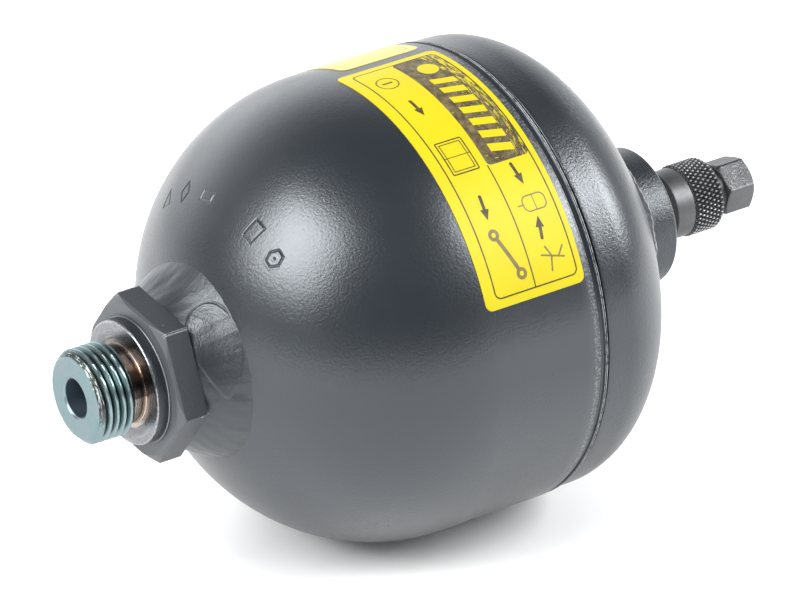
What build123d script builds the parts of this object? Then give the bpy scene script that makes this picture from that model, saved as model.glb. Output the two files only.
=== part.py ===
from build123d import *
import math
import os

# Welded diaphragm accumulator, about 0.6 litre, lying on its side. Millimetres.
#
# +X runs along the accumulator from the fluid port to the gas valve, +Z is up, and the origin is
# the centre of the sealing face behind the port's thread. Every turned piece is drawn as a half
# profile in the XY plane, with X along the axis and Y as the radius, and revolved about X.

# ---- fits between neighbours, on the radius or along the axis ----
FIT = 0.05  # locating and threaded fits
RUNNING = 0.06  # the core pin in its barrel
SOFT_GAP = 0.3  # rubber beside metal that moves

# ---- fluid port fitting ----
THREAD_D = 22.225  # 7/8-14 UNF
THREAD_LEAD = 1.36  # chamfer at the free end
STUD_LENGTH = 12.7
RELIEF_LENGTH = 3.4
RELIEF_DEPTH = 1.81
RELIEF_RUNOUT = 0.7
PORT_BORE_D = 9.2
BORE_LEAD = 0.4
COLLAR_D = 29.4
COLLAR_LENGTH = 3.0
COLLAR_EDGE = 0.35
COLLAR_FOOT_STEP = 0.33  # low ring where the collar meets the hexagon
COLLAR_FOOT_LENGTH = 0.25
FACE_GROOVE_WIDTH = 1.5  # step between the thread relief and the sealing face
FACE_GROOVE_DEPTH = 0.35
PORT_HEX_AF = 34.925  # 1 3/8 in
PORT_HEX_LENGTH = 7.0
PORT_HEX_CHAMFER_MARGIN = 0.44  # chamfer circle outside the flats
PORT_HEX_CLOCK = 6.1
HEX_CHAMFER_DEG = 30
PORT_NECK_STEP = 1.2  # neck inside the top of its weld
PORT_SEAT_STANDOUT = 0.3  # inner end of the fitting past the shell's inner wall

# ---- shell ----
SHELL_OD = 110.6
WALL = 4.0
FLUID_POLE_X = 14.3
FLUID_DOME_HEIGHT = 51.7
FLUID_CYLINDER = 29.1
GAS_STEP = 0.6  # gas half's surface below the fluid half's
GAS_CYLINDER = 7.2
GAS_DOME_HEIGHT = 28.2

# ---- girth weld ----
WELD_WIDTH = 0.9
WELD_CROWN_DROP = 0.1  # crown below the fluid half's surface
WELD_RIDGE = 0.3
WELD_VALLEY = 0.12
LIP_DEPTH = 0.6
LIP_EDGE = 0.4
FLUID_LIP = 1.1
GAS_LIP = 0.65

# ---- fillet welds of the two fittings ----
PORT_WELD_TOE_D = 47.8
PORT_WELD_INSET = 0.26  # top of the weld inside the hexagon's flats
PORT_WELD_BULGE = 0.5
BOSS_WELD_TOE_D = 47.2
BOSS_WELD_LEG = 9.5
BOSS_WELD_BULGE = 0.5

# ---- gas boss ----
BOSS_D = 33.5
BOSS_HEIGHT = 14.2  # above the gas dome's pole
BOSS_INNER_STANDOUT = 0.3
BOSS_EDGE = 0.8
BOSS_RECESS_CLEARANCE = 0.63  # round the corners of the valve's flange
BOSS_RECESS_DEPTH = 3.5
BOSS_SEAT_CHAMFER = 2.1

# ---- gas valve body ----
VALVE_FLANGE_AF = 19.0
VALVE_FLANGE_LENGTH = 3.0
VALVE_FLANGE_LEDGE = 0.5  # flats of the flange outside the boss's bore
VALVE_SHANK_LENGTH = 13.5
VALVE_SHANK_CHAMFER = 1.0
VALVE_RELIEF_DEPTH = 0.35
VALVE_RELIEF_LENGTH = 3.0
VALVE_STEM_D = 12.7
VALVE_STEM_LENGTH = 18.3
VALVE_STEM_CHAMFER = 0.8
VALVE_NOSE_D = 7.7
VALVE_NOSE_LENGTH = 10.0
GAS_PASSAGE_D = 2.6
O_RING_SECTION_D = 1.1

# ---- valve core ----
CORE_SCREW_D = 5.2
CORE_SCREW_LENGTH = 5.4
CORE_SLOT_WIDTH = 1.0
CORE_SLOT_DEPTH = 1.6
CORE_SETBACK = 0.7  # screw's top below the nose
BARREL_D = 3.7
BARREL_LENGTH = 10.4
BARREL_BORE_D = 2.6
BARREL_FLOOR = 2.0
GASKET_WALL = 0.15  # at its narrow end
GASKET_TAPER = 0.35
GASKET_LENGTH = 2.3
GASKET_FROM_SCREW = 3.6
PIN_D = 1.1
PIN_SETBACK = 0.2  # below the screw's top
PIN_COLLAR_D = 2.3
PIN_COLLAR_LENGTH = 0.6
PIN_COLLAR_TO_SCREW = 0.6
PIN_CUP_D = 3.2
PIN_CUP_LENGTH = 1.6
CORE_SEAL_D = 2.9
CORE_SEAL_LENGTH = 0.75
PIN_TRAVEL = 1.2
SPRING_WIRE_D = 0.3
SPRING_TURNS = 6
SPRING_MEAN_D = 1.9
CHAMBER_CLEARANCE = 1.0  # below the pin's cup with the pin pressed in

# ---- protective cap ----
CAP_START_GAP = 1.1  # above the valve's flange
CAP_WALL = 2.0
CAP_BAND_LENGTH = 11.1
KNURL_HEIGHT = 0.5
KNURL_LENGTH = 8.6
KNURL_EDGE = 0.8
CAP_NECK_D = 11.2
CAP_NECK_LENGTH = 2.6
CAP_HEX_AF = 12.0
CAP_HEX_LENGTH = 8.3
CAP_HEX_EDGE_D = 11.2
CAP_HEX_CLOCK = 17.0
CAP_CAVITY_CLEARANCE = 0.35  # round the valve's nose
CAP_CAVITY_END = 1.1  # past the end of the nose
CAP_GASKET_THICKNESS = 1.0
CAP_GASKET_INSET = 0.2

# ---- diaphragm, its clamp ring and its closing button ----
RUBBER = 2.2
CLAMP_FLUID_REACH = 10.9
CLAMP_GAS_REACH = 6.1
CLAMP_THICKNESS = 4.5
BEAD_LENGTH = 5.6
BEAD_THICKNESS = 3.0
BUTTON_D = 22.0
BUTTON_THICKNESS = 3.0
BUTTON_NECK_D = 10.0
BUTTON_NECK_LENGTH = 2.4
BUTTON_FLANGE_D = 16.0
BUTTON_FLANGE_THICKNESS = 1.5
HUB_WALL = 2.0

# ---- labels on the cylindrical band ----
LABEL_THICKNESS = 0.15
LABEL_WIDTH = 26.9
LABEL_TO_SEAM = 3.3
LABEL_CORNER = 3.0
MAIN_LABEL_FROM_DEG = 22.0
MAIN_LABEL_TO_DEG = 98.9
LABEL_GAP_DEG = 3.9
SECOND_LABEL_SPAN_DEG = 76.0

# ---- cutters run past the surface that they cut ----
OVERRUN = 1.0

# ---- radii, from the sizes above ----
shell_r = SHELL_OD / 2
gas_r = shell_r - GAS_STEP
relief_r = THREAD_D / 2 - RELIEF_DEPTH
face_groove_r = relief_r + FACE_GROOVE_WIDTH
port_weld_top_r = PORT_HEX_AF / 2 - PORT_WELD_INSET
port_neck_r = port_weld_top_r - PORT_NECK_STEP
boss_bore_r = VALVE_FLANGE_AF / 2 - VALVE_FLANGE_LEDGE
boss_recess_r = VALVE_FLANGE_AF / math.sqrt(3) + BOSS_RECESS_CLEARANCE
shank_r = boss_bore_r - FIT
gasket_end_r = BARREL_D / 2 + GASKET_WALL
gasket_r = gasket_end_r + GASKET_TAPER
cap_bore_r = VALVE_STEM_D / 2 + FIT
cap_band_r = cap_bore_r + CAP_WALL
cap_grip_r = cap_band_r + KNURL_HEIGHT
cap_cavity_r = VALVE_NOSE_D / 2 + CAP_CAVITY_CLEARANCE

# ---- places along the axis, from the sizes above ----
fluid_dome_x = FLUID_POLE_X + FLUID_DOME_HEIGHT
seam_x = fluid_dome_x + FLUID_CYLINDER
gas_dome_x = seam_x + GAS_CYLINDER
port_hex_x = COLLAR_LENGTH
port_neck_x = port_hex_x + PORT_HEX_LENGTH
boss_face_x = gas_dome_x + GAS_DOME_HEIGHT + BOSS_HEIGHT
boss_recess_x = boss_face_x - BOSS_RECESS_DEPTH
flange_top_x = boss_recess_x + VALVE_FLANGE_LENGTH
stem_top_x = flange_top_x + VALVE_STEM_LENGTH
nose_top_x = stem_top_x + VALVE_NOSE_LENGTH
shank_end_x = boss_recess_x - VALVE_SHANK_LENGTH
core_top_x = nose_top_x - CORE_SETBACK
screw_end_x = core_top_x - CORE_SCREW_LENGTH
gasket_top_x = screw_end_x - GASKET_FROM_SCREW
gasket_end_x = gasket_top_x - GASKET_LENGTH
barrel_end_x = screw_end_x - BARREL_LENGTH
pin_collar_x = screw_end_x - PIN_COLLAR_TO_SCREW - PIN_COLLAR_LENGTH
cup_top_x = barrel_end_x - CORE_SEAL_LENGTH
cup_end_x = cup_top_x - PIN_CUP_LENGTH
chamber_end_x = cup_end_x - PIN_TRAVEL - CHAMBER_CLEARANCE
cap_start_x = flange_top_x + CAP_START_GAP
knurl_x = cap_start_x + CAP_BAND_LENGTH
knurl_end_x = knurl_x + KNURL_LENGTH
cap_hex_x = knurl_end_x + CAP_NECK_LENGTH
cap_end_x = cap_hex_x + CAP_HEX_LENGTH
cap_shoulder_x = stem_top_x + CAP_GASKET_THICKNESS
clamp_x = seam_x - CLAMP_FLUID_REACH
label_end_x = seam_x - LABEL_TO_SEAM
label_x = label_end_x - LABEL_WIDTH


def dome_x(centre_x, height, crown_r, r):
    """Place along the axis where a half ellipse of this height and rim radius has radius r."""
    return centre_x + height * math.sqrt(1 - (r / crown_r) ** 2)


port_hole_x = dome_x(fluid_dome_x, WALL - FLUID_DOME_HEIGHT, shell_r - WALL, port_neck_r)
fluid_seat_x = port_hole_x + PORT_SEAT_STANDOUT
boss_hole_x = dome_x(gas_dome_x, GAS_DOME_HEIGHT - WALL, gas_r - WALL, BOSS_D / 2)
boss_inner_x = boss_hole_x - BOSS_INNER_STANDOUT
button_x = fluid_seat_x + SOFT_GAP
button_neck_x = button_x + BUTTON_THICKNESS
button_flange_x = button_neck_x + BUTTON_NECK_LENGTH
button_end_x = button_flange_x + BUTTON_FLANGE_THICKNESS


# ---- shared shapes ----
def turned(*edges):
    """Solid of revolution about X of the closed profile that the edges make."""
    return revolve(make_face(Wire(edges)), axis=Axis.X)


def turned_points(*points):
    """Solid of revolution about X of a polygon given as (x, radius) corners."""
    return revolve(make_face(Polyline(*points, close=True)), axis=Axis.X)


def rod(x0, x1, diameter):
    """Cylinder about X from x0 to x1."""
    return turned_points((x0, 0), (x1, 0), (x1, diameter / 2), (x0, diameter / 2))


def tube(x0, x1, inner_r, outer_r):
    """Tube about X from x0 to x1."""
    return turned_points((x0, inner_r), (x1, inner_r), (x1, outer_r), (x0, outer_r))


def hex_bar(x0, x1, across_flats, clock_deg):
    """Hexagonal bar about X, one corner clock_deg below the side that faces -Y."""
    plane = Plane(origin=(x0, 0, 0), x_dir=(0, -1, 0), z_dir=(1, 0, 0))
    outline = RegularPolygon(across_flats / 2, 6, major_radius=False)
    return extrude(plane * Rot(0, 0, clock_deg) * outline, x1 - x0)


def bullet(x0, x1, edge_d, body_d, front, back):
    """Bar about X with 30 degree cones at the ends asked for, to chamfer a hexagon's corners."""
    rise = math.tan(math.radians(HEX_CHAMFER_DEG)) * (body_d - edge_d) / 2
    points = [(x0, 0), (x1, 0)]
    points += [(x1, edge_d / 2), (x1 - rise, body_d / 2)] if back else [(x1, body_d / 2)]
    points += [(x0 + rise, body_d / 2), (x0, edge_d / 2)] if front else [(x0, body_d / 2)]
    return turned_points(*points)


def cup(centre_x, height, crown_r, rim_x):
    """Filled half ellipse of signed height on centre_x with a straight rim as far as rim_x."""
    pole = (centre_x + height, 0)
    start_deg = 0 if height > 0 else 90
    arc = EllipticalCenterArc((centre_x, 0), abs(height), crown_r, start_deg, arc_size=90)
    return turned(
        arc,
        Line((centre_x, crown_r), (rim_x, crown_r)),
        Line((rim_x, crown_r), (rim_x, 0)),
        Line((rim_x, 0), pole),
    )


def weld_fillet(root, toe, top, bulge):
    """Fillet weld about X: triangle root, toe, top with its outer side bulged outwards."""
    middle = ((toe[0] + top[0]) / 2, (toe[1] + top[1]) / 2)
    run = (top[0] - toe[0], top[1] - toe[1])
    length = math.hypot(*run)
    outward = 1 if root[1] < middle[1] else -1
    normal = (-run[1] / length, run[0] / length)
    sign = outward if normal[1] > 0 else -outward
    crown = (middle[0] + sign * bulge * normal[0], middle[1] + sign * bulge * normal[1])
    return turned(Line(root, toe), ThreePointArc(toe, crown, top), Line(top, root))


# ---- shell ----
def fluid_form(allowance):
    """Outer form of the fluid half, filled, grown by the allowance."""
    return cup(fluid_dome_x, -FLUID_DOME_HEIGHT - allowance, shell_r + allowance, seam_x)


def fluid_shape():
    """Outer form of the fluid half, filled, with the rebate that frames the girth weld."""
    lip_x = seam_x - WELD_WIDTH / 2 - FLUID_LIP
    rebate = turned_points(
        (lip_x, shell_r - LIP_DEPTH),
        (seam_x, shell_r - LIP_DEPTH),
        (seam_x, shell_r + OVERRUN),
        (lip_x - LIP_EDGE - OVERRUN, shell_r + OVERRUN),
        (lip_x, shell_r - LIP_EDGE),
    )
    return fluid_form(0) - rebate


def make_fluid_half_shell():
    inner = cup(fluid_dome_x, WALL - FLUID_DOME_HEIGHT, shell_r - WALL, seam_x)
    port_hole = rod(0, fluid_dome_x, 2 * port_neck_r)
    weld_gap = tube(seam_x - WELD_WIDTH / 2, seam_x, 0, shell_r + OVERRUN)
    return fluid_shape() - inner - port_hole - weld_gap


def gas_shape():
    """Outer form of the gas half, filled, with its side of the rebate."""
    lip_x = seam_x + WELD_WIDTH / 2 + GAS_LIP
    rebate = tube(seam_x, lip_x, gas_r - LIP_DEPTH, gas_r + OVERRUN)
    return cup(gas_dome_x, GAS_DOME_HEIGHT, gas_r, seam_x) - rebate


def make_gas_half_shell():
    inner = cup(gas_dome_x, GAS_DOME_HEIGHT - WALL, gas_r - WALL, seam_x)
    boss_hole = rod(gas_dome_x, boss_face_x, BOSS_D)
    weld_gap = tube(seam_x, seam_x + WELD_WIDTH / 2, 0, gas_r + OVERRUN)
    return gas_shape() - inner - boss_hole - weld_gap


def make_girth_weld():
    """Through weld with a low double bead at the bottom of the rebate."""
    half = WELD_WIDTH / 2
    crown = shell_r - WELD_CROWN_DROP
    root_r = shell_r - WALL
    return turned_points(
        (seam_x - half, root_r),
        (seam_x + half, root_r),
        (seam_x + half, crown - WELD_RIDGE),
        (seam_x + half / 2, crown),
        (seam_x, crown - WELD_VALLEY),
        (seam_x - half / 2, crown),
        (seam_x - half, crown - WELD_RIDGE),
    )


# ---- fluid port ----
def make_port_fitting():
    """Threaded stud, sealing collar, hexagon and weld neck turned from one bar."""
    stud = turned_points(
        (-STUD_LENGTH, 0),
        (COLLAR_LENGTH, 0),
        (COLLAR_LENGTH, COLLAR_D / 2 + COLLAR_FOOT_STEP),
        (COLLAR_LENGTH - COLLAR_FOOT_LENGTH, COLLAR_D / 2 + COLLAR_FOOT_STEP),
        (COLLAR_LENGTH - COLLAR_FOOT_LENGTH, COLLAR_D / 2),
        (COLLAR_EDGE, COLLAR_D / 2),
        (0, COLLAR_D / 2 - COLLAR_EDGE),
        (0, face_groove_r),
        (FACE_GROOVE_DEPTH, face_groove_r - FACE_GROOVE_DEPTH),
        (FACE_GROOVE_DEPTH, relief_r),
        (-RELIEF_LENGTH + RELIEF_RUNOUT, relief_r),
        (-RELIEF_LENGTH, THREAD_D / 2),
        (-STUD_LENGTH + THREAD_LEAD, THREAD_D / 2),
        (-STUD_LENGTH, THREAD_D / 2 - THREAD_LEAD),
    )
    chamfer_d = PORT_HEX_AF + 2 * PORT_HEX_CHAMFER_MARGIN
    hexagon = hex_bar(port_hex_x, port_neck_x, PORT_HEX_AF, PORT_HEX_CLOCK)
    corners = bullet(port_hex_x, port_neck_x, chamfer_d, 2 * PORT_HEX_AF, True, False)
    neck = rod(port_neck_x, fluid_seat_x, 2 * port_neck_r)
    bore = rod(-STUD_LENGTH, fluid_seat_x, PORT_BORE_D)
    mouth = turned_points(
        (-STUD_LENGTH, 0),
        (-STUD_LENGTH, PORT_BORE_D / 2 + BORE_LEAD),
        (-STUD_LENGTH + BORE_LEAD, PORT_BORE_D / 2),
        (-STUD_LENGTH + BORE_LEAD, 0),
    )
    return stud + (hexagon & corners) + neck - bore - mouth


def make_port_weld():
    """Heavy fillet weld from the back of the hexagon down to the fluid dome."""
    toe_r = PORT_WELD_TOE_D / 2
    toe_x = dome_x(fluid_dome_x, -FLUID_DOME_HEIGHT, shell_r, toe_r)
    ring = weld_fillet(
        (toe_x, port_neck_r),
        (toe_x, toe_r),
        (port_neck_x, port_weld_top_r),
        PORT_WELD_BULGE,
    )
    land = tube(port_neck_x, toe_x, port_neck_r, port_weld_top_r)
    return ring + land - fluid_shape()


# ---- gas end ----
def make_gas_boss():
    """Round boss with a recess for the valve's flange and a chamfered seat for its O-ring."""
    body = rod(boss_inner_x, boss_face_x, BOSS_D)
    rim = body.edges().group_by(Axis.X)[-1]
    body = fillet(rim, BOSS_EDGE)
    recess = rod(boss_recess_x, boss_face_x, 2 * boss_recess_r)
    bore = rod(boss_inner_x, boss_recess_x, 2 * boss_bore_r)
    seat = turned_points(
        (boss_recess_x, 0),
        (boss_recess_x, boss_bore_r + BOSS_SEAT_CHAMFER),
        (boss_recess_x - BOSS_SEAT_CHAMFER, boss_bore_r),
        (boss_recess_x - BOSS_SEAT_CHAMFER, 0),
    )
    return body - recess - bore - seat


def make_gas_boss_weld():
    toe_r = BOSS_WELD_TOE_D / 2
    toe_x = dome_x(gas_dome_x, GAS_DOME_HEIGHT, gas_r, toe_r)
    top_x = dome_x(gas_dome_x, GAS_DOME_HEIGHT, gas_r, BOSS_D / 2) + BOSS_WELD_LEG
    ring = weld_fillet(
        (toe_x, BOSS_D / 2),
        (toe_x, toe_r),
        (top_x, BOSS_D / 2),
        BOSS_WELD_BULGE,
    )
    return ring - gas_shape()


def make_valve_body():
    """Charging valve body: threaded shank, wrench flange, cap thread, nose and stepped core bore."""
    undercut_x = boss_recess_x - VALVE_RELIEF_LENGTH
    shank = turned_points(
        (shank_end_x, 0),
        (boss_recess_x, 0),
        (boss_recess_x, shank_r - VALVE_RELIEF_DEPTH),
        (undercut_x, shank_r - VALVE_RELIEF_DEPTH),
        (undercut_x, shank_r),
        (shank_end_x + VALVE_SHANK_CHAMFER, shank_r),
        (shank_end_x, shank_r - VALVE_SHANK_CHAMFER),
    )
    flange = hex_bar(boss_recess_x, flange_top_x, VALVE_FLANGE_AF, 0)
    corners = bullet(boss_recess_x, flange_top_x, VALVE_FLANGE_AF, 2 * VALVE_FLANGE_AF, False, True)
    stem = turned_points(
        (flange_top_x, 0),
        (stem_top_x, 0),
        (stem_top_x, VALVE_STEM_D / 2 - VALVE_STEM_CHAMFER),
        (stem_top_x - VALVE_STEM_CHAMFER, VALVE_STEM_D / 2),
        (flange_top_x, VALVE_STEM_D / 2),
    )
    nose = rod(stem_top_x, nose_top_x, VALVE_NOSE_D)
    body = shank + (flange & corners) + stem + nose
    return body - valve_bore()


def valve_bore():
    """Stepped hole through the valve body: gas passage, pin chamber, barrel seat and core thread."""
    thread_r = CORE_SCREW_D / 2 + FIT
    return turned_points(
        (shank_end_x, 0),
        (nose_top_x, 0),
        (nose_top_x, thread_r),
        (gasket_top_x, thread_r),
        (gasket_top_x, gasket_r),
        (gasket_end_x, gasket_end_r),
        (chamber_end_x, gasket_end_r),
        (chamber_end_x, GAS_PASSAGE_D / 2),
        (shank_end_x, GAS_PASSAGE_D / 2),
    )


def make_valve_body_seal():
    """O-ring in the chamfered seat under the valve's flange."""
    section_r = O_RING_SECTION_D / 2
    centre_r = boss_bore_r + section_r
    centre_x = boss_recess_x - section_r - FIT
    return revolve(Pos(centre_x, centre_r) * Circle(section_r), axis=Axis.X)


# ---- valve core ----
def make_core_screw():
    body = tube(screw_end_x, core_top_x, PIN_D / 2 + RUNNING, CORE_SCREW_D / 2)
    slot = Box(2 * CORE_SLOT_DEPTH, 2 * CORE_SCREW_D, CORE_SLOT_WIDTH)
    return body - Pos(core_top_x, 0, 0) * slot


def make_core_barrel():
    """Barrel with a floor at its lower end, which carries the spring and is the pin's seat."""
    return turned_points(
        (barrel_end_x, PIN_D / 2 + RUNNING),
        (barrel_end_x + BARREL_FLOOR, PIN_D / 2 + RUNNING),
        (barrel_end_x + BARREL_FLOOR, BARREL_BORE_D / 2),
        (screw_end_x, BARREL_BORE_D / 2),
        (screw_end_x, BARREL_D / 2),
        (barrel_end_x, BARREL_D / 2),
    )


def make_core_gasket():
    """Tapered washer on the barrel, pressed into the cone of the valve body."""
    return turned_points(
        (gasket_end_x, BARREL_D / 2),
        (gasket_top_x, BARREL_D / 2),
        (gasket_top_x, gasket_r),
        (gasket_end_x, gasket_end_r),
    )


def make_core_pin():
    """Pin with a spring collar inside the barrel and a cup that carries the seat seal."""
    pin = rod(cup_end_x, core_top_x - PIN_SETBACK, PIN_D)
    collar = rod(pin_collar_x, pin_collar_x + PIN_COLLAR_LENGTH, PIN_COLLAR_D)
    cup_head = rod(cup_end_x, cup_top_x, PIN_CUP_D)
    return pin + collar + cup_head


def make_core_seal():
    return tube(cup_top_x, barrel_end_x, PIN_D / 2, CORE_SEAL_D / 2)


def make_core_spring():
    """Coil spring from the barrel's floor to the pin's collar."""
    start = barrel_end_x + BARREL_FLOOR + SPRING_WIRE_D / 2 + FIT
    end = pin_collar_x - SPRING_WIRE_D / 2 - FIT
    length = end - start
    path = Helix(length / SPRING_TURNS, length, SPRING_MEAN_D / 2)
    section = Plane(origin=path @ 0, z_dir=path % 0) * Circle(SPRING_WIRE_D / 2)
    coil = sweep(section, path=path)
    return Pos(start, 0, 0) * Rot(0, 90, 0) * coil


# ---- protective cap ----
def make_protective_cap():
    """Cap with a plain band, a grip band, a turned neck and a small hexagon on its closed end."""
    skirt = turned_points(
        (cap_start_x, 0),
        (knurl_end_x, 0),
        (knurl_end_x, cap_grip_r - KNURL_EDGE),
        (knurl_end_x - KNURL_EDGE, cap_grip_r),
        (knurl_x, cap_grip_r),
        (knurl_x, cap_band_r),
        (cap_start_x, cap_band_r),
    )
    neck = rod(knurl_end_x, cap_hex_x, CAP_NECK_D)
    hexagon = hex_bar(cap_hex_x, cap_end_x, CAP_HEX_AF, -CAP_HEX_CLOCK)
    corners = bullet(cap_hex_x, cap_end_x, CAP_HEX_EDGE_D, 2 * CAP_HEX_AF, True, True)
    skirt_bore = rod(cap_start_x, cap_shoulder_x, 2 * cap_bore_r)
    tip_bore = rod(cap_shoulder_x, nose_top_x + CAP_CAVITY_END, 2 * cap_cavity_r)
    return skirt + neck + (hexagon & corners) - skirt_bore - tip_bore


def make_cap_gasket():
    outer_r = VALVE_STEM_D / 2 - CAP_GASKET_INSET
    return tube(stem_top_x, cap_shoulder_x, cap_cavity_r, outer_r)


# ---- diaphragm ----
def make_diaphragm_clamp_ring():
    """Ring that bridges the girth weld inside and traps the diaphragm's bead in its groove."""
    fluid_r = shell_r - WALL - FIT
    gas_side_r = gas_r - WALL - FIT
    inner_r = fluid_r - CLAMP_THICKNESS
    body = turned_points(
        (clamp_x, inner_r),
        (seam_x + CLAMP_GAS_REACH, inner_r),
        (seam_x + CLAMP_GAS_REACH, gas_side_r),
        (seam_x, gas_side_r),
        (seam_x, fluid_r),
        (clamp_x, fluid_r),
    )
    groove = tube(clamp_x, clamp_x + BEAD_LENGTH + FIT, fluid_r - BEAD_THICKNESS - FIT, fluid_r)
    return body - groove


def make_diaphragm():
    """Moulded rubber cup lying in the fluid half, with a rim bead and a hub round the button."""
    outer_gap = WALL + SOFT_GAP
    skin_r = shell_r - outer_gap
    bead_r = shell_r - WALL - FIT
    bead_end_x = clamp_x + BEAD_LENGTH
    outer = cup(fluid_dome_x, outer_gap - FLUID_DOME_HEIGHT, skin_r, clamp_x)
    inner_gap = outer_gap + RUBBER
    inner = cup(fluid_dome_x, inner_gap - FLUID_DOME_HEIGHT, skin_r - RUBBER, clamp_x)
    bead = tube(clamp_x, bead_end_x, bead_r - BEAD_THICKNESS, bead_r)
    hub_end_x = button_end_x + SOFT_GAP + HUB_WALL
    hub_foot_r = BUTTON_D / 2 + SOFT_GAP + HUB_WALL + 2 * RUBBER
    hub = turned_points(
        (button_x, 0),
        (hub_end_x, 0),
        (hub_end_x, BUTTON_FLANGE_D / 2),
        (button_x + 2 * RUBBER, hub_foot_r),
        (button_x, hub_foot_r),
    )
    seat_clear = rod(0, button_x, 2 * (port_neck_r + SOFT_GAP))
    return outer - inner + bead + hub - seat_clear - button_shape(SOFT_GAP)


def button_shape(allowance):
    """The closing button, grown by the allowance to make the pocket in the rubber."""
    head = rod(button_x - allowance, button_neck_x + allowance, BUTTON_D + 2 * allowance)
    neck = rod(button_neck_x, button_flange_x, BUTTON_NECK_D + 2 * allowance)
    flange_d = BUTTON_FLANGE_D + 2 * allowance
    flange = rod(button_flange_x - allowance, button_end_x + allowance, flange_d)
    return head + neck + flange


# ---- labels ----
def make_label(from_deg, to_deg):
    """Thin sheet with rounded corners wrapped on the shell, measured up from the -Y side."""
    wrap = fluid_form(LABEL_THICKNESS) - fluid_form(0)
    middle = (from_deg + to_deg) / 2
    arc_width = 2 * shell_r * math.sin(math.radians((to_deg - from_deg) / 2))
    centre_x = (label_x + label_end_x) / 2
    outline = RectangleRounded(LABEL_WIDTH, arc_width, LABEL_CORNER)
    blank = extrude(outline, 2 * shell_r)
    return wrap & (Rot(90 - middle, 0, 0) * Pos(centre_x, 0, 0) * blank)


PARTS = {
    "fluid_half_shell": make_fluid_half_shell(),
    "gas_half_shell": make_gas_half_shell(),
    "girth_weld": make_girth_weld(),
    "port_fitting": make_port_fitting(),
    "port_weld": make_port_weld(),
    "gas_boss": make_gas_boss(),
    "gas_boss_weld": make_gas_boss_weld(),
    "valve_body": make_valve_body(),
    "valve_body_seal": make_valve_body_seal(),
    "core_screw": make_core_screw(),
    "core_barrel": make_core_barrel(),
    "core_gasket": make_core_gasket(),
    "core_pin": make_core_pin(),
    "core_seal": make_core_seal(),
    "core_spring": make_core_spring(),
    "protective_cap": make_protective_cap(),
    "cap_gasket": make_cap_gasket(),
    "diaphragm_clamp_ring": make_diaphragm_clamp_ring(),
    "diaphragm": make_diaphragm(),
    "closing_button": button_shape(0),
    "main_label": make_label(MAIN_LABEL_FROM_DEG, MAIN_LABEL_TO_DEG),
    "second_label": make_label(
        MAIN_LABEL_TO_DEG + LABEL_GAP_DEG,
        MAIN_LABEL_TO_DEG + LABEL_GAP_DEG + SECOND_LABEL_SPAN_DEG,
    ),
}

os.makedirs("parts", exist_ok=True)
for name, solid in PARTS.items():
    export_step(solid, f"parts/{name}.step")
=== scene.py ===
import math

import bpy
import numpy as np
from bpy.props import FloatProperty, FloatVectorProperty, IntProperty, PointerProperty
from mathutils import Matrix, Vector


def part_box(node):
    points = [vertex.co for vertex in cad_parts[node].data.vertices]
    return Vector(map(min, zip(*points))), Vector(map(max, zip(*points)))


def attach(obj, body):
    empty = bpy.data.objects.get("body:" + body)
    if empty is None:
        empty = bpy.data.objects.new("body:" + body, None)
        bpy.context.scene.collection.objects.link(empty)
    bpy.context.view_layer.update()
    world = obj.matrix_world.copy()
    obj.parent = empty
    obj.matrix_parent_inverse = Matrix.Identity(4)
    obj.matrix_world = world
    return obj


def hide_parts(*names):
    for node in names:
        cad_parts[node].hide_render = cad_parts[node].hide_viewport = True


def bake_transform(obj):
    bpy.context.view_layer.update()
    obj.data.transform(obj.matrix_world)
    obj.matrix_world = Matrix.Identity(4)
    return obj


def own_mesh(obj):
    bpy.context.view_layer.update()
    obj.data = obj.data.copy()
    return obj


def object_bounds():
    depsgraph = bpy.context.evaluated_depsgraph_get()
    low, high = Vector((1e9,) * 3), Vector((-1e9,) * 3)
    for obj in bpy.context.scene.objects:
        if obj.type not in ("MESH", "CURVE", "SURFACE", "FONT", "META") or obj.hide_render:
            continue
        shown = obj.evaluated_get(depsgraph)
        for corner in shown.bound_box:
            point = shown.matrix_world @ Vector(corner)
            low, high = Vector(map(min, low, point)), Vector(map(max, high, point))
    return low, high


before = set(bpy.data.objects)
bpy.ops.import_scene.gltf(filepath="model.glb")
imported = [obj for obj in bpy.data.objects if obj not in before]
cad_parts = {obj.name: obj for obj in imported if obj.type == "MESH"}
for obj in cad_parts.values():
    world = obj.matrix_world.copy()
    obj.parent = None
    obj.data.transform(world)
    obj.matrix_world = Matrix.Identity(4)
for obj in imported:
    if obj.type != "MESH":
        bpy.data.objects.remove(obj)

cad_low, cad_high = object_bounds()

bl_info = {
    "name": "Welded Accumulator",
    "version": (1, 0, 0),
    "blender": (4, 5, 0),
    "location": "3D View > Sidebar > Accumulator",
    "description": "Builds the looks of a small welded accumulator round its packed CAD frame",
    "category": "Object",
}

MM = 0.001
TURN = 2 * math.pi
CONE_SLOPE = math.tan(math.radians(30))

# Every surface below is written in millimetres as x along the axis, a radius about it and a clock
# angle. The clock is measured up from the side that faces -Y, so 90 degrees is the top.
PORT_BAND = 29.1  # straight band from the port dome's base to the seam
GAS_BAND = 7.2  # straight band from the seam to the gas dome's base
PORT_HOLE = 16.0  # radius of the port half's hole and of the fitting's neck in it
GAS_HOLE = 16.75  # radius of the gas half's hole
BEAD_HALF = 0.45  # half the girth weld's width
REBATE = 0.6  # depth of the lips beside the girth weld
THREAD_DEPTH = 0.6134  # height of the thread as a share of its pitch
RELIEF_RADIUS = 9.30  # radius of the groove between the thread and the sealing face
RELIEF_START = -2.9  # where the thread has run out into that groove
HEX_FRONT = 3.0  # faces of the port fitting's hexagon
HEX_BACK = 10.0
HEX_CHAMFER = 17.90  # radius at which the hexagon's front turns into a cone
FITTING_END = 20.98  # inner end of the port fitting
GRIP_START = 156.4  # ends of the cap's knurled band
GRIP_END = 165.0
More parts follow.
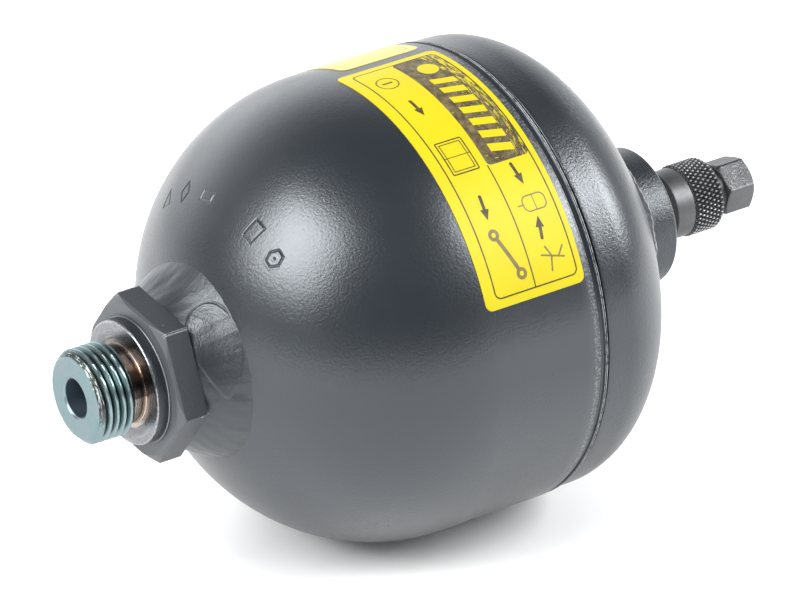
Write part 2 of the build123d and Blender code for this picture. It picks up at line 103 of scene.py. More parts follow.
CAP_HEX_START = 167.6  # ends of the cap's hexagon
CAP_HEX_END = 175.9
CAP_HEX_FACE = 5.6  # radius at which those ends turn into cones


# ---------------------------------------------------------------- surfaces
def on_axis(x, radius, clock):
    """Points of a round form: y is minus radius times cosine of clock, z is radius times sine."""
    x, radius, clock = np.broadcast_arrays(x, radius, clock)
    return np.stack([x, -radius * np.cos(clock), radius * np.sin(clock)], axis=-1)


def spread(*stops):
    """Joined runs of even steps: each pair after the first value is (end of the run, steps in it)."""
    runs = [np.array([float(stops[0])])]
    start = stops[0]
    for end, steps in stops[1:]:
        runs.append(np.linspace(start, end, steps + 1)[1:])
        start = end
    return np.concatenate(runs)


def polyline(*corners):
    """Profile rows along straight runs: corners are (x, radius, steps of the run that ends there)."""
    xs = spread(corners[0][0], *[(c[0], c[2]) for c in corners[1:]])
    radii = spread(corners[0][1], *[(c[1], c[2]) for c in corners[1:]])
    return np.stack([xs, radii], axis=1)


def dome_x(centre, height, rim, radius):
    """Place along the axis where a half ellipse of this height and rim radius has that radius."""
    return centre + height * np.sqrt(np.maximum(0, 1 - (radius / rim) ** 2))


def add_mesh(name, corners, faces):
    """Mesh of whole arrays: corner positions in millimetres, then lists of faces of one size each."""
    signed = 0.0
    for block in faces:
        a, b, c = (corners[block[:, k]] for k in (0, 1, 2))
        signed += np.einsum("ij,ij->i", a, np.cross(b, c)).sum()
        if block.shape[1] == 4:
            d = corners[block[:, 3]]
            signed += np.einsum("ij,ij->i", a, np.cross(c, d)).sum()
    if signed < 0:
        faces = [block[:, ::-1] for block in faces]
    mesh = bpy.data.meshes.new(name)
    mesh.vertices.add(len(corners))
    mesh.vertices.foreach_set("co", (corners * MM).astype(np.float32).ravel())
    order = np.concatenate([block.ravel() for block in faces])
    sizes = np.concatenate([np.full(len(block), block.shape[1]) for block in faces])
    mesh.loops.add(len(order))
    mesh.loops.foreach_set("vertex_index", order.astype(np.int32))
    mesh.polygons.add(len(sizes))
    starts = np.concatenate([[0], np.cumsum(sizes)[:-1]])
    mesh.polygons.foreach_set("loop_start", starts.astype(np.int32))
    mesh.polygons.foreach_set("use_smooth", np.ones(len(sizes), bool))
    mesh.update(calc_edges=True)
    mesh.validate()
    piece = bpy.data.objects.new(name, mesh)
    bpy.context.scene.collection.objects.link(piece)
    return piece


def skin(name, points, poles=False, crease=30):
    """Skin over a grid of points (profile row, step round the axis), closed round the axis.

    The profile is either a closed loop or, with poles, runs from one point on the axis to
    another. Faces join each point to the next in both directions; edges bent by more than
    crease degrees stay sharp."""
    rows, columns = points.shape[:2]
    index = np.arange(rows * columns).reshape(rows, columns)
    corners = points.reshape(-1, 3)
    if poles:
        inner = index[1:-1] - columns + 1
        last = inner.size + 1
        corners = np.concatenate([points[0, :1], points[1:-1].reshape(-1, 3), points[-1, :1]])
        first_ring, last_ring = inner[0], inner[-1]
        fan_a = np.stack([0 * first_ring, np.roll(first_ring, -1), first_ring], axis=1)
        fan_b = np.stack([0 * last_ring + last, last_ring, np.roll(last_ring, -1)], axis=1)
        below, above = inner[:-1], inner[1:]
    else:
        below, above = index, np.roll(index, -1, axis=0)
    quads = np.stack([below, np.roll(below, -1, axis=1), np.roll(above, -1, axis=1), above], axis=-1)
    faces = [quads.reshape(-1, 4)]
    if poles:
        faces += [fan_a, fan_b]
    piece = add_mesh(name, corners, faces)
    piece.data.set_sharp_from_angle(angle=math.radians(crease))
    return piece


def around(profile, clock):
    """Grid of a plain turned form: every profile row (x, radius) at every clock angle."""
    profile = np.asarray(profile)
    return on_axis(profile[:, :1], profile[:, 1:], clock)


def lathe(name, profile, clock, poles=False, crease=30):
    """Skin of a plain turned form."""
    return skin(name, around(profile, clock), poles, crease)


def drawn_together(grid, first, last):
    """The grid with one more row at each end, all of it in one point, for a skin with poles."""
    before, after = (np.broadcast_to(point, grid[:1].shape) for point in (first, last))
    return np.concatenate([before, grid, after])


def half_ellipse(centre, height, rim, turn):
    """Profile rows of a half ellipse: x = centre - height cos turn and radius = rim sin turn."""
    return np.stack([centre - height * np.cos(turn), rim * np.sin(turn)], axis=1)


def round_clock(steps):
    """Even steps once round the axis."""
    return np.arange(steps) * TURN / steps


def refined_clock(steps, centres, half_width, fine_step):
    """Even steps once round, with finer ones within half_width of each centre, all in radians."""
    fine = np.arange(-half_width, half_width + fine_step / 2, fine_step)
    runs = [round_clock(steps)] + [centre + fine for centre in centres]
    clock = np.sort(np.concatenate(runs) % TURN)
    gap = np.diff(np.concatenate([clock, clock[:1] + TURN]))
    return clock[gap > fine_step * 0.6]


def hexagon_radius(clock, flat, corner_clock, rounding):
    """Radius of a hexagon at a clock angle: its flats, with corners rounded by an arc.

    Off its nearest corner by an angle d, a flat lies at flat / cos(30 degrees - d), and the arc
    at centre cos d + sqrt(rounding squared - (centre sin d) squared)."""
    half = TURN / 12
    off = np.abs((clock - corner_clock + half) % (2 * half) - half)
    centre = (flat - rounding) / math.cos(half)
    tangent = math.atan2(rounding * math.sin(half), centre + rounding * math.cos(half))
    arc = centre * np.cos(off) + np.sqrt(np.maximum(0, rounding**2 - (centre * np.sin(off)) ** 2))
    return np.where(off < tangent, arc, flat / np.cos(half - off))


def wander(clock, seed, lowest, highest, size):
    """Gentle closed wave round the axis: cosines of whole counts with fixed random phases."""
    chance = np.random.default_rng(seed)
    counts = np.arange(lowest, highest + 1)
    phases = chance.uniform(0, TURN, len(counts))
    heights = chance.normal(0, 1, len(counts)) / np.sqrt(len(counts))
    return size * (np.cos(np.multiply.outer(clock, counts) + phases) @ heights)


def ease(low, high, value):
    """Smooth step from 0 at low to 1 at high."""
    t = np.clip((value - low) / (high - low), 0, 1)
    return t * t * (3 - 2 * t)


def bell(value, middle, width):
    """Bump of 1 at the middle that falls as exp(-((value - middle) / width) squared)."""
    return np.exp(-(((value - middle) / width) ** 2))


def segment_distance(a, b, a0, b0, a1, b1):
    """Distance in a plane from points (a, b) to the straight stroke between two ends."""
    run_a, run_b = a1 - a0, b1 - b0
    along = np.clip(((a - a0) * run_a + (b - b0) * run_b) / (run_a**2 + run_b**2), 0, 1)
    return np.hypot(a - a0 - along * run_a, b - b0 - along * run_b)


# ---------------------------------------------------------------- sizes
def length(name, description, default, **limits):
    """A length that the user may change."""
    return FloatProperty(
        name=name, description=description, default=default, unit="LENGTH", precision=5, **limits)


def colour_setting(name, description, default):
    """A colour that the user may change."""
    return FloatVectorProperty(
        name=name, description=description, default=default, size=3, min=0, max=1, subtype="COLOR")


class ShellSizes(bpy.types.PropertyGroup):
    """Sizes of the two shell halves and the weld between them."""

    outside_radius: length("Outside Radius", "Radius of the port side's straight band", 0.0553, min=0.02)
    wall: length("Wall", "Thickness of both halves", 0.004, min=0.001)
    port_dome_height: length("Port Dome Height", "Height of the half ellipse on the port side", 0.0517)
    gas_dome_height: length("Gas Dome Height", "Height of the half ellipse on the gas side", 0.0282)
    seam: length("Seam", "Place of the girth weld's middle along the axis", 0.0951)
    gas_step: length("Gas Step", "Drop of the gas half's surface below the port half's", 0.0006)
    mark_depth: length(
        "Mark Depth", "Depth of the stamped marks on the port dome", 0.00017, min=0, max=0.001)
    bead_ripple: length(
        "Bead Ripple", "Height of the ripples along the girth weld", 0.00003, min=0, max=0.0002)


class PortSizes(bpy.types.PropertyGroup):
    """Sizes of the threaded port fitting and of its weld."""

    thread_radius: length("Thread Radius", "Outside radius of the thread", 0.0111125)
    thread_pitch: length("Thread Pitch", "Step from one thread crest to the next", 0.0018143, min=0.0005)
    stud_length: length(
        "Stud Length", "From the sealing face to the free end", -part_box("port_fitting")[0].x)
    bore_radius: length("Bore Radius", "Radius of the hole through the fitting", 0.0046)
    collar_radius: length("Collar Radius", "Radius of the sealing collar", 0.0147)
    hexagon_flats: length("Hexagon Flats", "Size across the hexagon's flats", 0.034925)
    corner_rounding: length("Corner Rounding", "Rounding of the hexagon's corners", 0.00035)
    weld_toe_radius: length("Weld Toe Radius", "Radius at which the weld meets the dome", 0.0239)


class CapSizes(bpy.types.PropertyGroup):
    """Sizes of the protective cap."""

    band_radius: length("Band Radius", "Radius of the cap's plain band", 0.0084)
    knurl_depth: length("Knurl Depth", "Height of the knurl's points over the band", 0.0005)
    knurl_count: IntProperty(
        name="Knurl Count", description="Points of the knurl once round the cap",
        default=44, min=12, max=90)
    knurl_slant: FloatProperty(
        name="Knurl Slant", description="Angle between the knurl's grooves and the axis",
        default=math.radians(30), subtype="ANGLE")
    hexagon_flats: length("Hexagon Flats", "Size across the flats of the cap's hexagon", 0.012)


class StageSizes(bpy.types.PropertyGroup):
    """Camera, lights and floor."""

    lens: FloatProperty(
        name="Lens", description="Focal length of the camera, in millimetres",
        default=274.7, min=20)
    key_power: FloatProperty(
        name="Key Power", description="Power of the soft light on the left",
        default=23.0, min=0, subtype="POWER", unit="POWER")
    fill_power: FloatProperty(
        name="Fill Power", description="Power of the soft light on the right",
        default=19.2, min=0, subtype="POWER", unit="POWER")
    backdrop: FloatProperty(
        name="Backdrop", description="Brightness of the backdrop behind the object",
        default=2.5, min=0)
    floor_colour: FloatVectorProperty(
        name="Floor Colour", description="Colour of the pale floor",
        default=(0.92, 0.92, 0.92), size=3, min=0, max=1, subtype="COLOR")
    floor_glow: FloatProperty(
        name="Floor Glow", description="Brightness that the floor round the object has of itself",
        default=0.045, min=0, max=1, subtype="FACTOR")
    far_glow: FloatProperty(
        name="Far Glow", description="The same, far away and past the gas end",
        default=0.65, min=0, max=2)


class Finishes(bpy.types.PropertyGroup):
    """Colours of the finishes."""

    paint: colour_setting("Paint", "Charcoal paint of the shell and the welds", (0.0140, 0.0168, 0.0205))
    label: colour_setting("Label", "Ground colour of the labels", (0.490, 0.412, 0.010))
    ink: colour_setting("Ink", "Lines and fields printed on the labels", (0.045, 0.036, 0.022))
    zinc: colour_setting("Zinc", "Passivated zinc on the threaded stud", (0.195, 0.243, 0.256))
    bronze: colour_setting("Heat Tint", "Heated steel in the thread relief", (0.150, 0.108, 0.086))
    steel: colour_setting("Steel", "Bare turned steel", (0.225, 0.224, 0.233))
    cap: colour_setting("Cap", "Phosphated steel of the cap", (0.070, 0.073, 0.077))
    brass: colour_setting("Brass", "Brass of the valve", (0.72, 0.50, 0.20))
    rubber: colour_setting("Rubber", "Nitrile rubber", (0.018, 0.018, 0.019))
    gasket: colour_setting("Gasket", "White plastic of the valve's gasket", (0.72, 0.70, 0.64))


# ---------------------------------------------------------------- shell
# Generic marks on the port dome: clock in degrees, radius, and strokes from end to end.
STAMPS = (
    (127.2, 36.8, ((0, 2.4, -1.7, -1.9), (-1.7, -1.9, 1.7, -1.9), (1.7, -1.9, 0, 2.4))),
    (114.6, 37.2, ((0, 2.6, -1.6, 0), (-1.6, 0, 0, -2.6), (0, -2.6, 1.6, 0), (1.6, 0, 0, 2.6))),
    (99.9, 37.2, ((-2.0, 1.1, 2.0, 1.1), (2.0, 1.1, 2.0, -1.1), (2.0, -1.1, -2.0, -1.1),
                  (-2.0, -1.1, -2.0, 1.1))),
    (71.2, 37.4, ((-1.6, -2.3, 1.6, -2.3), (1.6, -2.3, 1.6, 2.3), (1.6, 2.3, -1.6, 2.3),
                  (-1.6, 2.3, -1.6, -2.3))),
    (57.8, 37.6, ((1.9, 0, 0.95, 1.9), (0.95, 1.9, -0.95, 1.9), (-0.95, 1.9, -1.9, 0),
                  (-1.9, 0, -0.95, -1.9), (-0.95, -1.9, 0.95, -1.9), (0.95, -1.9, 1.9, 0),
                  (-0.1, 0, 0.1, 0))),
)


def stamped_depth(radius, clock):
    """Depth of the stamped marks: a bell of 0.2 mm across a stroke, less a faint one beside it for
    the metal that it pushed up.

    Each mark is a few straight strokes in a small plane: across is radius times clock, and up is
    the radius, stretched by 1.3 because the dome slopes there."""
    sunk = np.zeros(np.broadcast(radius, clock).shape)
    for clock_deg, at_radius, strokes in STAMPS:
        across = at_radius * ((clock - math.radians(clock_deg) + math.pi) % TURN - math.pi)
        up = (radius - at_radius) * 1.3
        away = np.full(sunk.shape, 9.0)
        for stroke in strokes:
            away = np.minimum(away, segment_distance(across, up, *stroke))
        sunk = np.maximum(sunk, bell(away, 0, 0.20)) - 0.16 * bell(away, 0.48, 0.18)
    return sunk


def build_port_half(sizes):
    """Port side half: x = centre - height cos t and radius = rim sin t outside, the same ellipse one
    wall smaller inside, joined by the rebate at the seam and the hole for the fitting."""
    rim, wall, height = sizes.outside_radius / MM, sizes.wall / MM, sizes.port_dome_height / MM
    seam, depth = sizes.seam / MM, sizes.mark_depth / MM
    centre = seam - PORT_BAND
    marks = [math.radians(stamp[0]) for stamp in STAMPS]
    clock = refined_clock(240, marks, math.radians(4.6), math.radians(0.21))
    marks_start, marks_end = math.asin(33.2 / rim), math.asin(40.9 / rim)
    turn = spread(math.asin(PORT_HOLE / rim), (marks_start, 26), (marks_end, 66), (math.pi / 2, 44))
    turn = turn[:, None]
    x = centre - height * np.cos(turn)
    radius = rim * np.sin(turn)
    slope = np.hypot(np.cos(turn) / height, np.sin(turn) / rim)
    sunk = depth * stamped_depth(radius, clock)
    x = x + sunk * np.cos(turn) / height / slope
    radius = radius - sunk * np.sin(turn) / rim / slope
    lip = seam - 1.55
    edge = polyline((centre, rim, 0), (lip - 0.4, rim, 7), (lip - 0.23, rim - 0.07, 2), (lip, rim - 0.4, 3),
                    (lip, rim - REBATE, 2), (seam - BEAD_HALF, rim - REBATE, 4),
                    (seam - BEAD_HALF, rim - wall, 3), (centre, rim - wall, 6))[1:]
    back = spread(math.pi / 2, (math.asin(PORT_HOLE / (rim - wall)), 40))[1:]
    rest = np.concatenate([edge, half_ellipse(centre, height - wall, rim - wall, back)])
    grid = np.concatenate([on_axis(x, radius, clock), around(rest, clock)])
    return skin("port_half", grid, crease=33)


def build_gas_half(sizes):
    """Gas side half: a lip at the seam, a short straight band and a flatter half ellipse."""
    wall, height = sizes.wall / MM, sizes.gas_dome_height / MM
    rim = (sizes.outside_radius - sizes.gas_step) / MM
    weld_edge = sizes.seam / MM + BEAD_HALF
    centre = sizes.seam / MM + GAS_BAND
    lip = weld_edge + 0.65
    band = polyline((weld_edge, rim - wall, 0), (weld_edge, rim - REBATE, 3), (lip, rim - REBATE, 3),
                    (lip, rim - 0.12, 2), (lip + 0.1, rim - 0.03, 2), (lip + 0.3, rim, 2), (centre, rim, 6))
    outside = spread(math.pi / 2, (math.asin(GAS_HOLE / rim), 70))[1:]
    inside = spread(math.asin(GAS_HOLE / (rim - wall)), (math.pi / 2, 50))
    dome = half_ellipse(centre, -height, rim, outside)
    back = half_ellipse(centre, wall - height, rim - wall, inside)
    return lathe("gas_half", np.concatenate([band, dome, back]), round_clock(360), crease=33)


def build_girth_bead(sizes):
    """Girth weld: two low ridges with a valley between, rippled along the seam.

    Across the bead, v runs from -1 to 1. The height eases up from the shoulders to a ridge at half
    way and down to the valley, whose middle wanders; ripples are cosines of the clock angle."""
    rim, wall, seam = sizes.outside_radius / MM, sizes.wall / MM, sizes.seam / MM
    ripple = sizes.bead_ripple / MM
    clock = round_clock(1400)
    v = np.linspace(-1, 1, 25)[:, None]
    away = np.abs(v - wander(clock, 3, 5, 40, 0.10) * (1 - v * v))
    top = rim - 0.4 + 0.3 * ease(1.0, 0.55, away) - 0.24 * ease(0.45, 0.0, away)
    beat = np.cos(330 * clock + 5 * wander(clock, 5, 3, 12, 1.0))
    top = top + ripple * (wander(clock, 4, 12, 90, 0.6) + 0.3 * beat) * ease(1.0, 0.7, np.abs(v))
    outer = on_axis(seam + BEAD_HALF * v, np.minimum(top, rim - 0.02), clock)
    inner = around([(seam + BEAD_HALF, rim - wall), (seam - BEAD_HALF, rim - wall)], clock)
    return skin("girth_bead", np.concatenate([outer, inner]), crease=50)


# ---------------------------------------------------------------- port
def thread_height(x, clock, pitch):
    """Height of a 60 degree thread over its root, for a right hand turn: within one pitch the
    distance d from the crest gives depth - (d - flat) * 1.732, no more than the depth and rounded
    off towards 0 at the root."""
    step = (x / pitch + clock / TURN) % 1.0
    away = np.abs(step - 0.5) * pitch
    depth = THREAD_DEPTH * pitch
    rounding = 0.03 * pitch
    bare = depth - (away - pitch / 9) * math.sqrt(3)
    return np.minimum(rounding * np.logaddexp(0, bare / rounding), depth)


def build_port_fitting(sizes):
    """Port fitting as one closed skin: bore, end face, thread, relief, sealing face, collar,
    hexagon and weld neck.

    The thread is the lower of three surfaces: the helical thread, the lead-in cone and the run-out
    cone. The hexagon's front is the plane of its washer face as far as the chamfer's circle and
    then a 30 degree cone, met by the flats at a place that changes with the clock angle."""
    major, pitch, tip = sizes.thread_radius / MM, sizes.thread_pitch / MM, -sizes.stud_length / MM
    bore, collar = sizes.bore_radius / MM, sizes.collar_radius / MM
    flat, rounding = sizes.hexagon_flats / 2 / MM, sizes.corner_rounding / MM
    corner = math.radians(-6.1)
    corners = [corner + k * TURN / 6 for k in range(6)]
    clock = refined_clock(360, corners, math.radians(0.9), math.radians(0.18))[None, :]
    front = around(polyline(
        (FITTING_END, bore, 0), (tip + 0.4, bore, 24), (tip + 0.1, bore + 0.32, 3),
        (tip, bore + 0.44, 2), (tip, 9.55, 10), (tip + 0.06, 9.72, 2)), clock)

    lead_in = tip + 0.12
    x = spread(lead_in, (RELIEF_START, 100))[:, None]
    height = thread_height(x, clock, pitch)
    nicks = scattered_nicks(x, clock) * (height > 0.7)
    helix = major - THREAD_DEPTH * pitch + height - nicks
    lead = 9.78 + (x - lead_in) * 0.98 + 0.05 * wander(clock, 12, 8, 70, 1.0)
    runout = RELIEF_RADIUS + np.maximum(0, RELIEF_START - x) * 2.6
    helix = np.maximum(np.minimum(np.minimum(helix, lead), runout), RELIEF_RADIUS)

    seat = polyline((-2.7, RELIEF_RADIUS, 0), (0.20, RELIEF_RADIUS, 10), (0.35, 9.45, 2), (0.35, 10.40, 3),
                    (0.02, 10.78, 3), (0, 10.9, 1), (0, collar - 0.42, 12), (0.06, collar - 0.22, 2),
                    (0.3, collar, 3), (2.72, collar, 8), (2.75, collar + 0.27, 2), (2.82, collar + 0.33, 2),
                    (2.95, collar + 0.33, 1), (HEX_FRONT, collar + 0.2, 1), (HEX_FRONT, collar + 0.6, 2))
    seat_x, seat_r = seat[:, :1], seat[:, 1:]
    at_edge = (np.abs(seat_r - collar + 0.2) < 0.25) * (seat_x < 0.5)
    ragged = 0.035 * wander(clock, 13, 14, 90, 1.0) * at_edge

    side = hexagon_radius(clock, flat, corner, rounding)
    washer = np.minimum(HEX_CHAMFER, side - 0.14)
    share = np.linspace(0, 1, 9)[1:, None]
    cone_r = washer + (side - 0.10 - washer) * share
    brim = HEX_FRONT + np.maximum(0, side - 0.10 - HEX_CHAMFER) * CONE_SLOPE + 0.10
    return skin("port_stud", np.concatenate([
        front,
        on_axis(x, helix, clock),
        on_axis(seat_x, seat_r + ragged, clock),
        on_axis(HEX_FRONT, collar + 0.6 + (washer - collar - 0.6) * share, clock),
        on_axis(HEX_FRONT + np.maximum(0, cone_r - HEX_CHAMFER) * CONE_SLOPE, cone_r, clock),
        on_axis(brim + (HEX_BACK - 0.12 - brim) * np.linspace(0, 1, 13)[:, None], side, clock),
        on_axis(HEX_BACK, side - 0.12, clock),
        around([(HEX_BACK, PORT_HOLE), (15.0, PORT_HOLE), (FITTING_END, PORT_HOLE)], clock),
    ]), crease=28)


def scattered_nicks(x, clock):
    """Depth of 26 small nicks scattered over the thread: each is a bell along x and round it."""
    chance = np.random.default_rng(11)
    depth = 0.0
    for _ in range(26):
        at_x, at_clock = chance.uniform(-11.6, -3.6), chance.uniform(0, TURN)
        long, wide = chance.uniform(0.15, 0.5), chance.uniform(0.1, 0.25)
        off = (clock - at_clock + math.pi) % TURN - math.pi
        depth = depth + chance.uniform(0.08, 0.22) * bell(x, at_x, wide) * bell(off * 11, 0, long)
    return depth


def build_port_weld(sizes, shell):
    """Fillet weld behind the hexagon: u runs from 0 at the hexagon to 1 at the dome.

    The base is a straight cone with a bulge of u (1 - u), which turns hollow from about clock 4 to
    113 degrees. A pad lies over it where the bead was restarted: a mask in u and clock with a steep
    upper border and a soft lower one. Ripples follow the distance from the pad's border, slower
    ones run along the rest of the weld, and one broad lump lies at clock 55."""
    rim, height = shell.outside_radius / MM, shell.port_dome_height / MM
    centre = shell.seam / MM - PORT_BAND
    top_r, root_r = 17.20, 16.05
    clock = refined_clock(420, [math.radians(34)], math.radians(36), math.radians(0.42))[None, :]
    degrees = np.degrees((clock + math.pi / 2) % TURN - math.pi / 2)
    u = np.linspace(0, 1, 58)[:, None]
    pulled_in = 0.9 * ease(85, 115, degrees) * ease(165, 135, degrees) + 0.7 * ease(-20, -80, degrees)
    toe_r = sizes.weld_toe_radius / MM - pulled_in
    toe_r = toe_r + wander(clock, 21, 6, 40, 0.10) + wander(clock, 22, 40, 110, 0.03)
    run_x, run_r = dome_x(centre, -height, rim, toe_r) - HEX_BACK, toe_r - top_r
    slant = np.hypot(run_x, run_r)

    inside, edge, upper = pad_shape(u, degrees)
    near = ease(0.55, 0.05, edge) * (0.25 + 0.75 * upper)
    hollow = ease(-12, 24, degrees) * ease(125, 98, degrees)
    bulge = (1.9 - 4.6 * hollow) * u * (1 - u)
    crown = 0.26 * inside * np.sin(math.pi * np.clip(u * 0.96 + 0.02, 0, 1)) ** 0.7
    ripple = 0.032 * np.cos(TURN * edge / 0.11 + 0.6) * inside * near
    slow = 0.02 * np.cos(34 * np.radians(degrees) + 9 * u) * (1 - inside)
    rough = wander(clock + 0.9 * u, 23, 30, 150, 0.035) + wander(clock - 1.7 * u, 24, 60, 260, 0.02)
    rough = rough * (0.10 + 0.55 * inside * near)
    lump = 0.24 * bell(u, 0.42, 0.22) * bell(degrees, 55, 8)
    lip = (0.12 * bell(edge, 0.02, 0.03) - 0.17 * bell(edge, -0.035, 0.03)) * upper
    fall = ease(0, 0.10, u) * ease(1.0, 0.93, u)
    raised = (bulge + (crown + lump + ripple + slow + rough + lip) * fall) / slant
    outside = on_axis(HEX_BACK + run_x * u - run_r * raised, top_r + run_r * u + run_x * raised, clock)

    under_r = toe_r + (root_r - toe_r) * np.linspace(0.02, 1, 9)[:, None]
    under = on_axis(dome_x(centre, -height, rim, under_r) + 0.22, under_r, clock)
    closing = around([(13.0, root_r), (HEX_BACK, root_r)], clock)
    return skin("port_fillet", np.concatenate([outside, under, closing]), crease=60)


def pad_shape(u, degrees):
    """The weld's restart pad: a mask, the distance inside its border and how much of that border is
    the steep upper one.

    With w from 0 at clock 34 degrees to 1 at 66 and -1 at 2, and v the distance from its middle
    line as a share of half the weld, the border is v squared plus w to the power 2.6 equal to 1
    above, and v to the power 1.43 plus w to the power 1.3 equal to 1 below, where it narrows."""
    w = (degrees - 34.0) / 32.0
    v = np.abs(u - 0.51) / 0.50
    above = 1 - np.sqrt(v**2 + np.maximum(w, 0) ** 2.6)
    below = 1 - (v**1.43 + np.maximum(-w, 0) ** 1.3) ** 0.75
    edge = np.where(w > 0, above, below)
    return ease(-0.03, 0.05, edge), edge, ease(0.0, 0.5, w)


# ---------------------------------------------------------------- gas end
def build_boss_weld(shell):
    """Fillet weld round the boss, with a wavy upper edge and slow ripples: a cone with a bulge."""
    rim = (shell.outside_radius - shell.gas_step) / MM
    centre, height = shell.seam / MM + GAS_BAND, shell.gas_dome_height / MM
    top_r, root_r = 16.82, 16.80
    clock = round_clock(540)[None, :]
    u = np.linspace(0, 1, 40)[:, None]
    toe_r = 23.6 + wander(clock, 31, 5, 36, 0.16)
    toe_x = dome_x(centre, height, rim, toe_r)
    top_x = 138.15 + wander(clock, 32, 3, 14, 0.45) + wander(clock, 33, 20, 60, 0.10)
    run_x, run_r = top_x - toe_x, top_r - toe_r
    slow = 0.05 * np.cos(46 * clock + 7 * u) + wander(clock + u, 34, 30, 170, 0.035)
    raised = 1.9 * u * (1 - u) + slow * ease(0, 0.12, u) * ease(1, 0.9, u)
    raised = raised / np.hypot(run_x, run_r)
    outside = on_axis(toe_x + run_x * u - run_r * raised, toe_r + run_r * u + run_x * raised, clock)
    under_r = root_r + (toe_r - root_r) * np.linspace(0.02, 1, 7)[:, None]
    under = on_axis(dome_x(centre, height, rim, under_r) - 0.2, under_r, clock)
    closing = on_axis(top_x - 0.02, root_r - 0.02, clock)
    return skin("boss_fillet", np.concatenate([outside, closing, under]), crease=60)


def build_cap(sizes):
    """Protective cap from the end of its inner hole to the middle of its hexagon's end face.

    The knurl is the lower of two slanted zigzags, count * clock / turn plus and minus a share of
    x, with their points cut flat. The hexagon's ends are 30 degree cones."""
    band, depth = sizes.band_radius / MM, sizes.knurl_depth / MM
    count, flat = sizes.knurl_count, sizes.hexagon_flats / 2 / MM
    clock = round_clock(count * 8)[None, :]
    sleeve = polyline((173.6, 0, 0), (173.6, 4.2, 3), (163.5, 4.2, 5), (163.5, 6.4, 2), (145.45, 6.4, 8),
                      (145.3, 6.55, 2), (145.3, 8.15, 4), (145.36, 8.32, 1), (145.55, band, 1),
                      (GRIP_START - 0.3, band, 14), (GRIP_START - 0.05, band - 0.05, 1))

    x = np.linspace(GRIP_START, GRIP_END, 78)[:, None]
    lean = count * math.tan(sizes.knurl_slant) / (TURN * (band + depth)) * x
    turn = count * clock / TURN
    ridge_a, ridge_b = (1 - np.abs(2 * ((turn + way * lean) % 1.0) - 1) for way in (1, -1))
    point = np.minimum(np.minimum(ridge_a, ridge_b) / 0.80, 1.0)
    edge = np.minimum(np.minimum((x - GRIP_START) / 0.35, (GRIP_END - x) / 0.75), 1)
    shoulder = np.sqrt(np.clip(1 - (1 - edge) ** 2, 0, 1))
    knurl = band - 0.47 + 0.30 * shoulder + (depth + 0.17) * point * shoulder

    neck = [(GRIP_END, 7.6), (GRIP_END, 6.2), (165.1, 5.75), (165.35, 5.6), (166.6, 5.5), (167.3, 5.5),
            (CAP_HEX_START, CAP_HEX_FACE)]
    end_face = [(CAP_HEX_END - 0.04, 5.5), (CAP_HEX_END, 5.2), (CAP_HEX_END, 2.5), (CAP_HEX_END, 0)]
    side = hexagon_radius(clock, flat, math.radians(17), 0.28)
    cone = CAP_HEX_FACE + (side - 0.05 - CAP_HEX_FACE) * np.linspace(0.15, 1, 4)[:, None]
    rise = (side - CAP_HEX_FACE) * CONE_SLOPE
    start, end = CAP_HEX_START + rise + 0.08, CAP_HEX_END - rise - 0.12
    return skin("knurled_cap", np.concatenate([
        around(sleeve, clock),
        on_axis(x, knurl, clock),
        around(neck, clock),
        on_axis(CAP_HEX_START + (cone - CAP_HEX_FACE) * CONE_SLOPE, cone, clock),
        on_axis(start + (end - start) * np.linspace(0, 1, 10)[:, None], side, clock),
        on_axis(CAP_HEX_END - (cone - CAP_HEX_FACE) * CONE_SLOPE, cone, clock)[::-1],
        around(end_face, clock),
    ]), poles=True, crease=33)


# ---------------------------------------------------------------- labels
# Ends along the axis, ends round the clock in degrees and radius of the corners.
LABELS = {
    "main_label": (64.2, 91.4, 21.9, 98.9, 1.8),
    "second_label": (69.0, 90.8, 102.7, 178.7, 2.2),
}


def build_label(name, place, shell):
    """Label on the shell: a rounded rectangle of film wrapped round it.

    Along its length q, half its width is the full one less (corner - sqrt(corner squared - past
    squared)), where past is how far q lies beyond the straight side. Each row is a closed loop,
    over the top of the film and back below it; the film lies on the half ellipse of the dome
    where it reaches past the straight band."""
    first_x, last_x, first_clock, last_clock, corner = place
    rim, height = shell.outside_radius / MM, shell.port_dome_height / MM
    half_p = (last_x - first_x) / 2
    straight = math.radians(last_clock - first_clock) * rim / 2 - corner
    end = straight + corner * np.sin(np.linspace(0, math.pi / 2, 10))
    q = np.concatenate([-end[::-1], np.linspace(-straight, straight, 130)[1:-1], end])[:, None]
    past = np.maximum(0, np.abs(q) - straight)
    wide = half_p - corner + np.sqrt(np.maximum(0, corner**2 - past**2))
    across = np.linspace(-1, 1, 33)
    film = np.repeat([0.14, -0.01], len(across))
    x = (first_x + last_x) / 2 + wide * np.concatenate([across, across[::-1]])
    below = rim * np.sqrt(1 - (np.maximum(0, shell.seam / MM - PORT_BAND - x) / height) ** 2)
    clock = math.radians((first_clock + last_clock) / 2) + q / rim
    grid = on_axis(x, below + film, clock)
    ends = grid[0].mean(axis=0), grid[-1].mean(axis=0)
    return skin(name, drawn_together(grid, *ends), poles=True, crease=40)


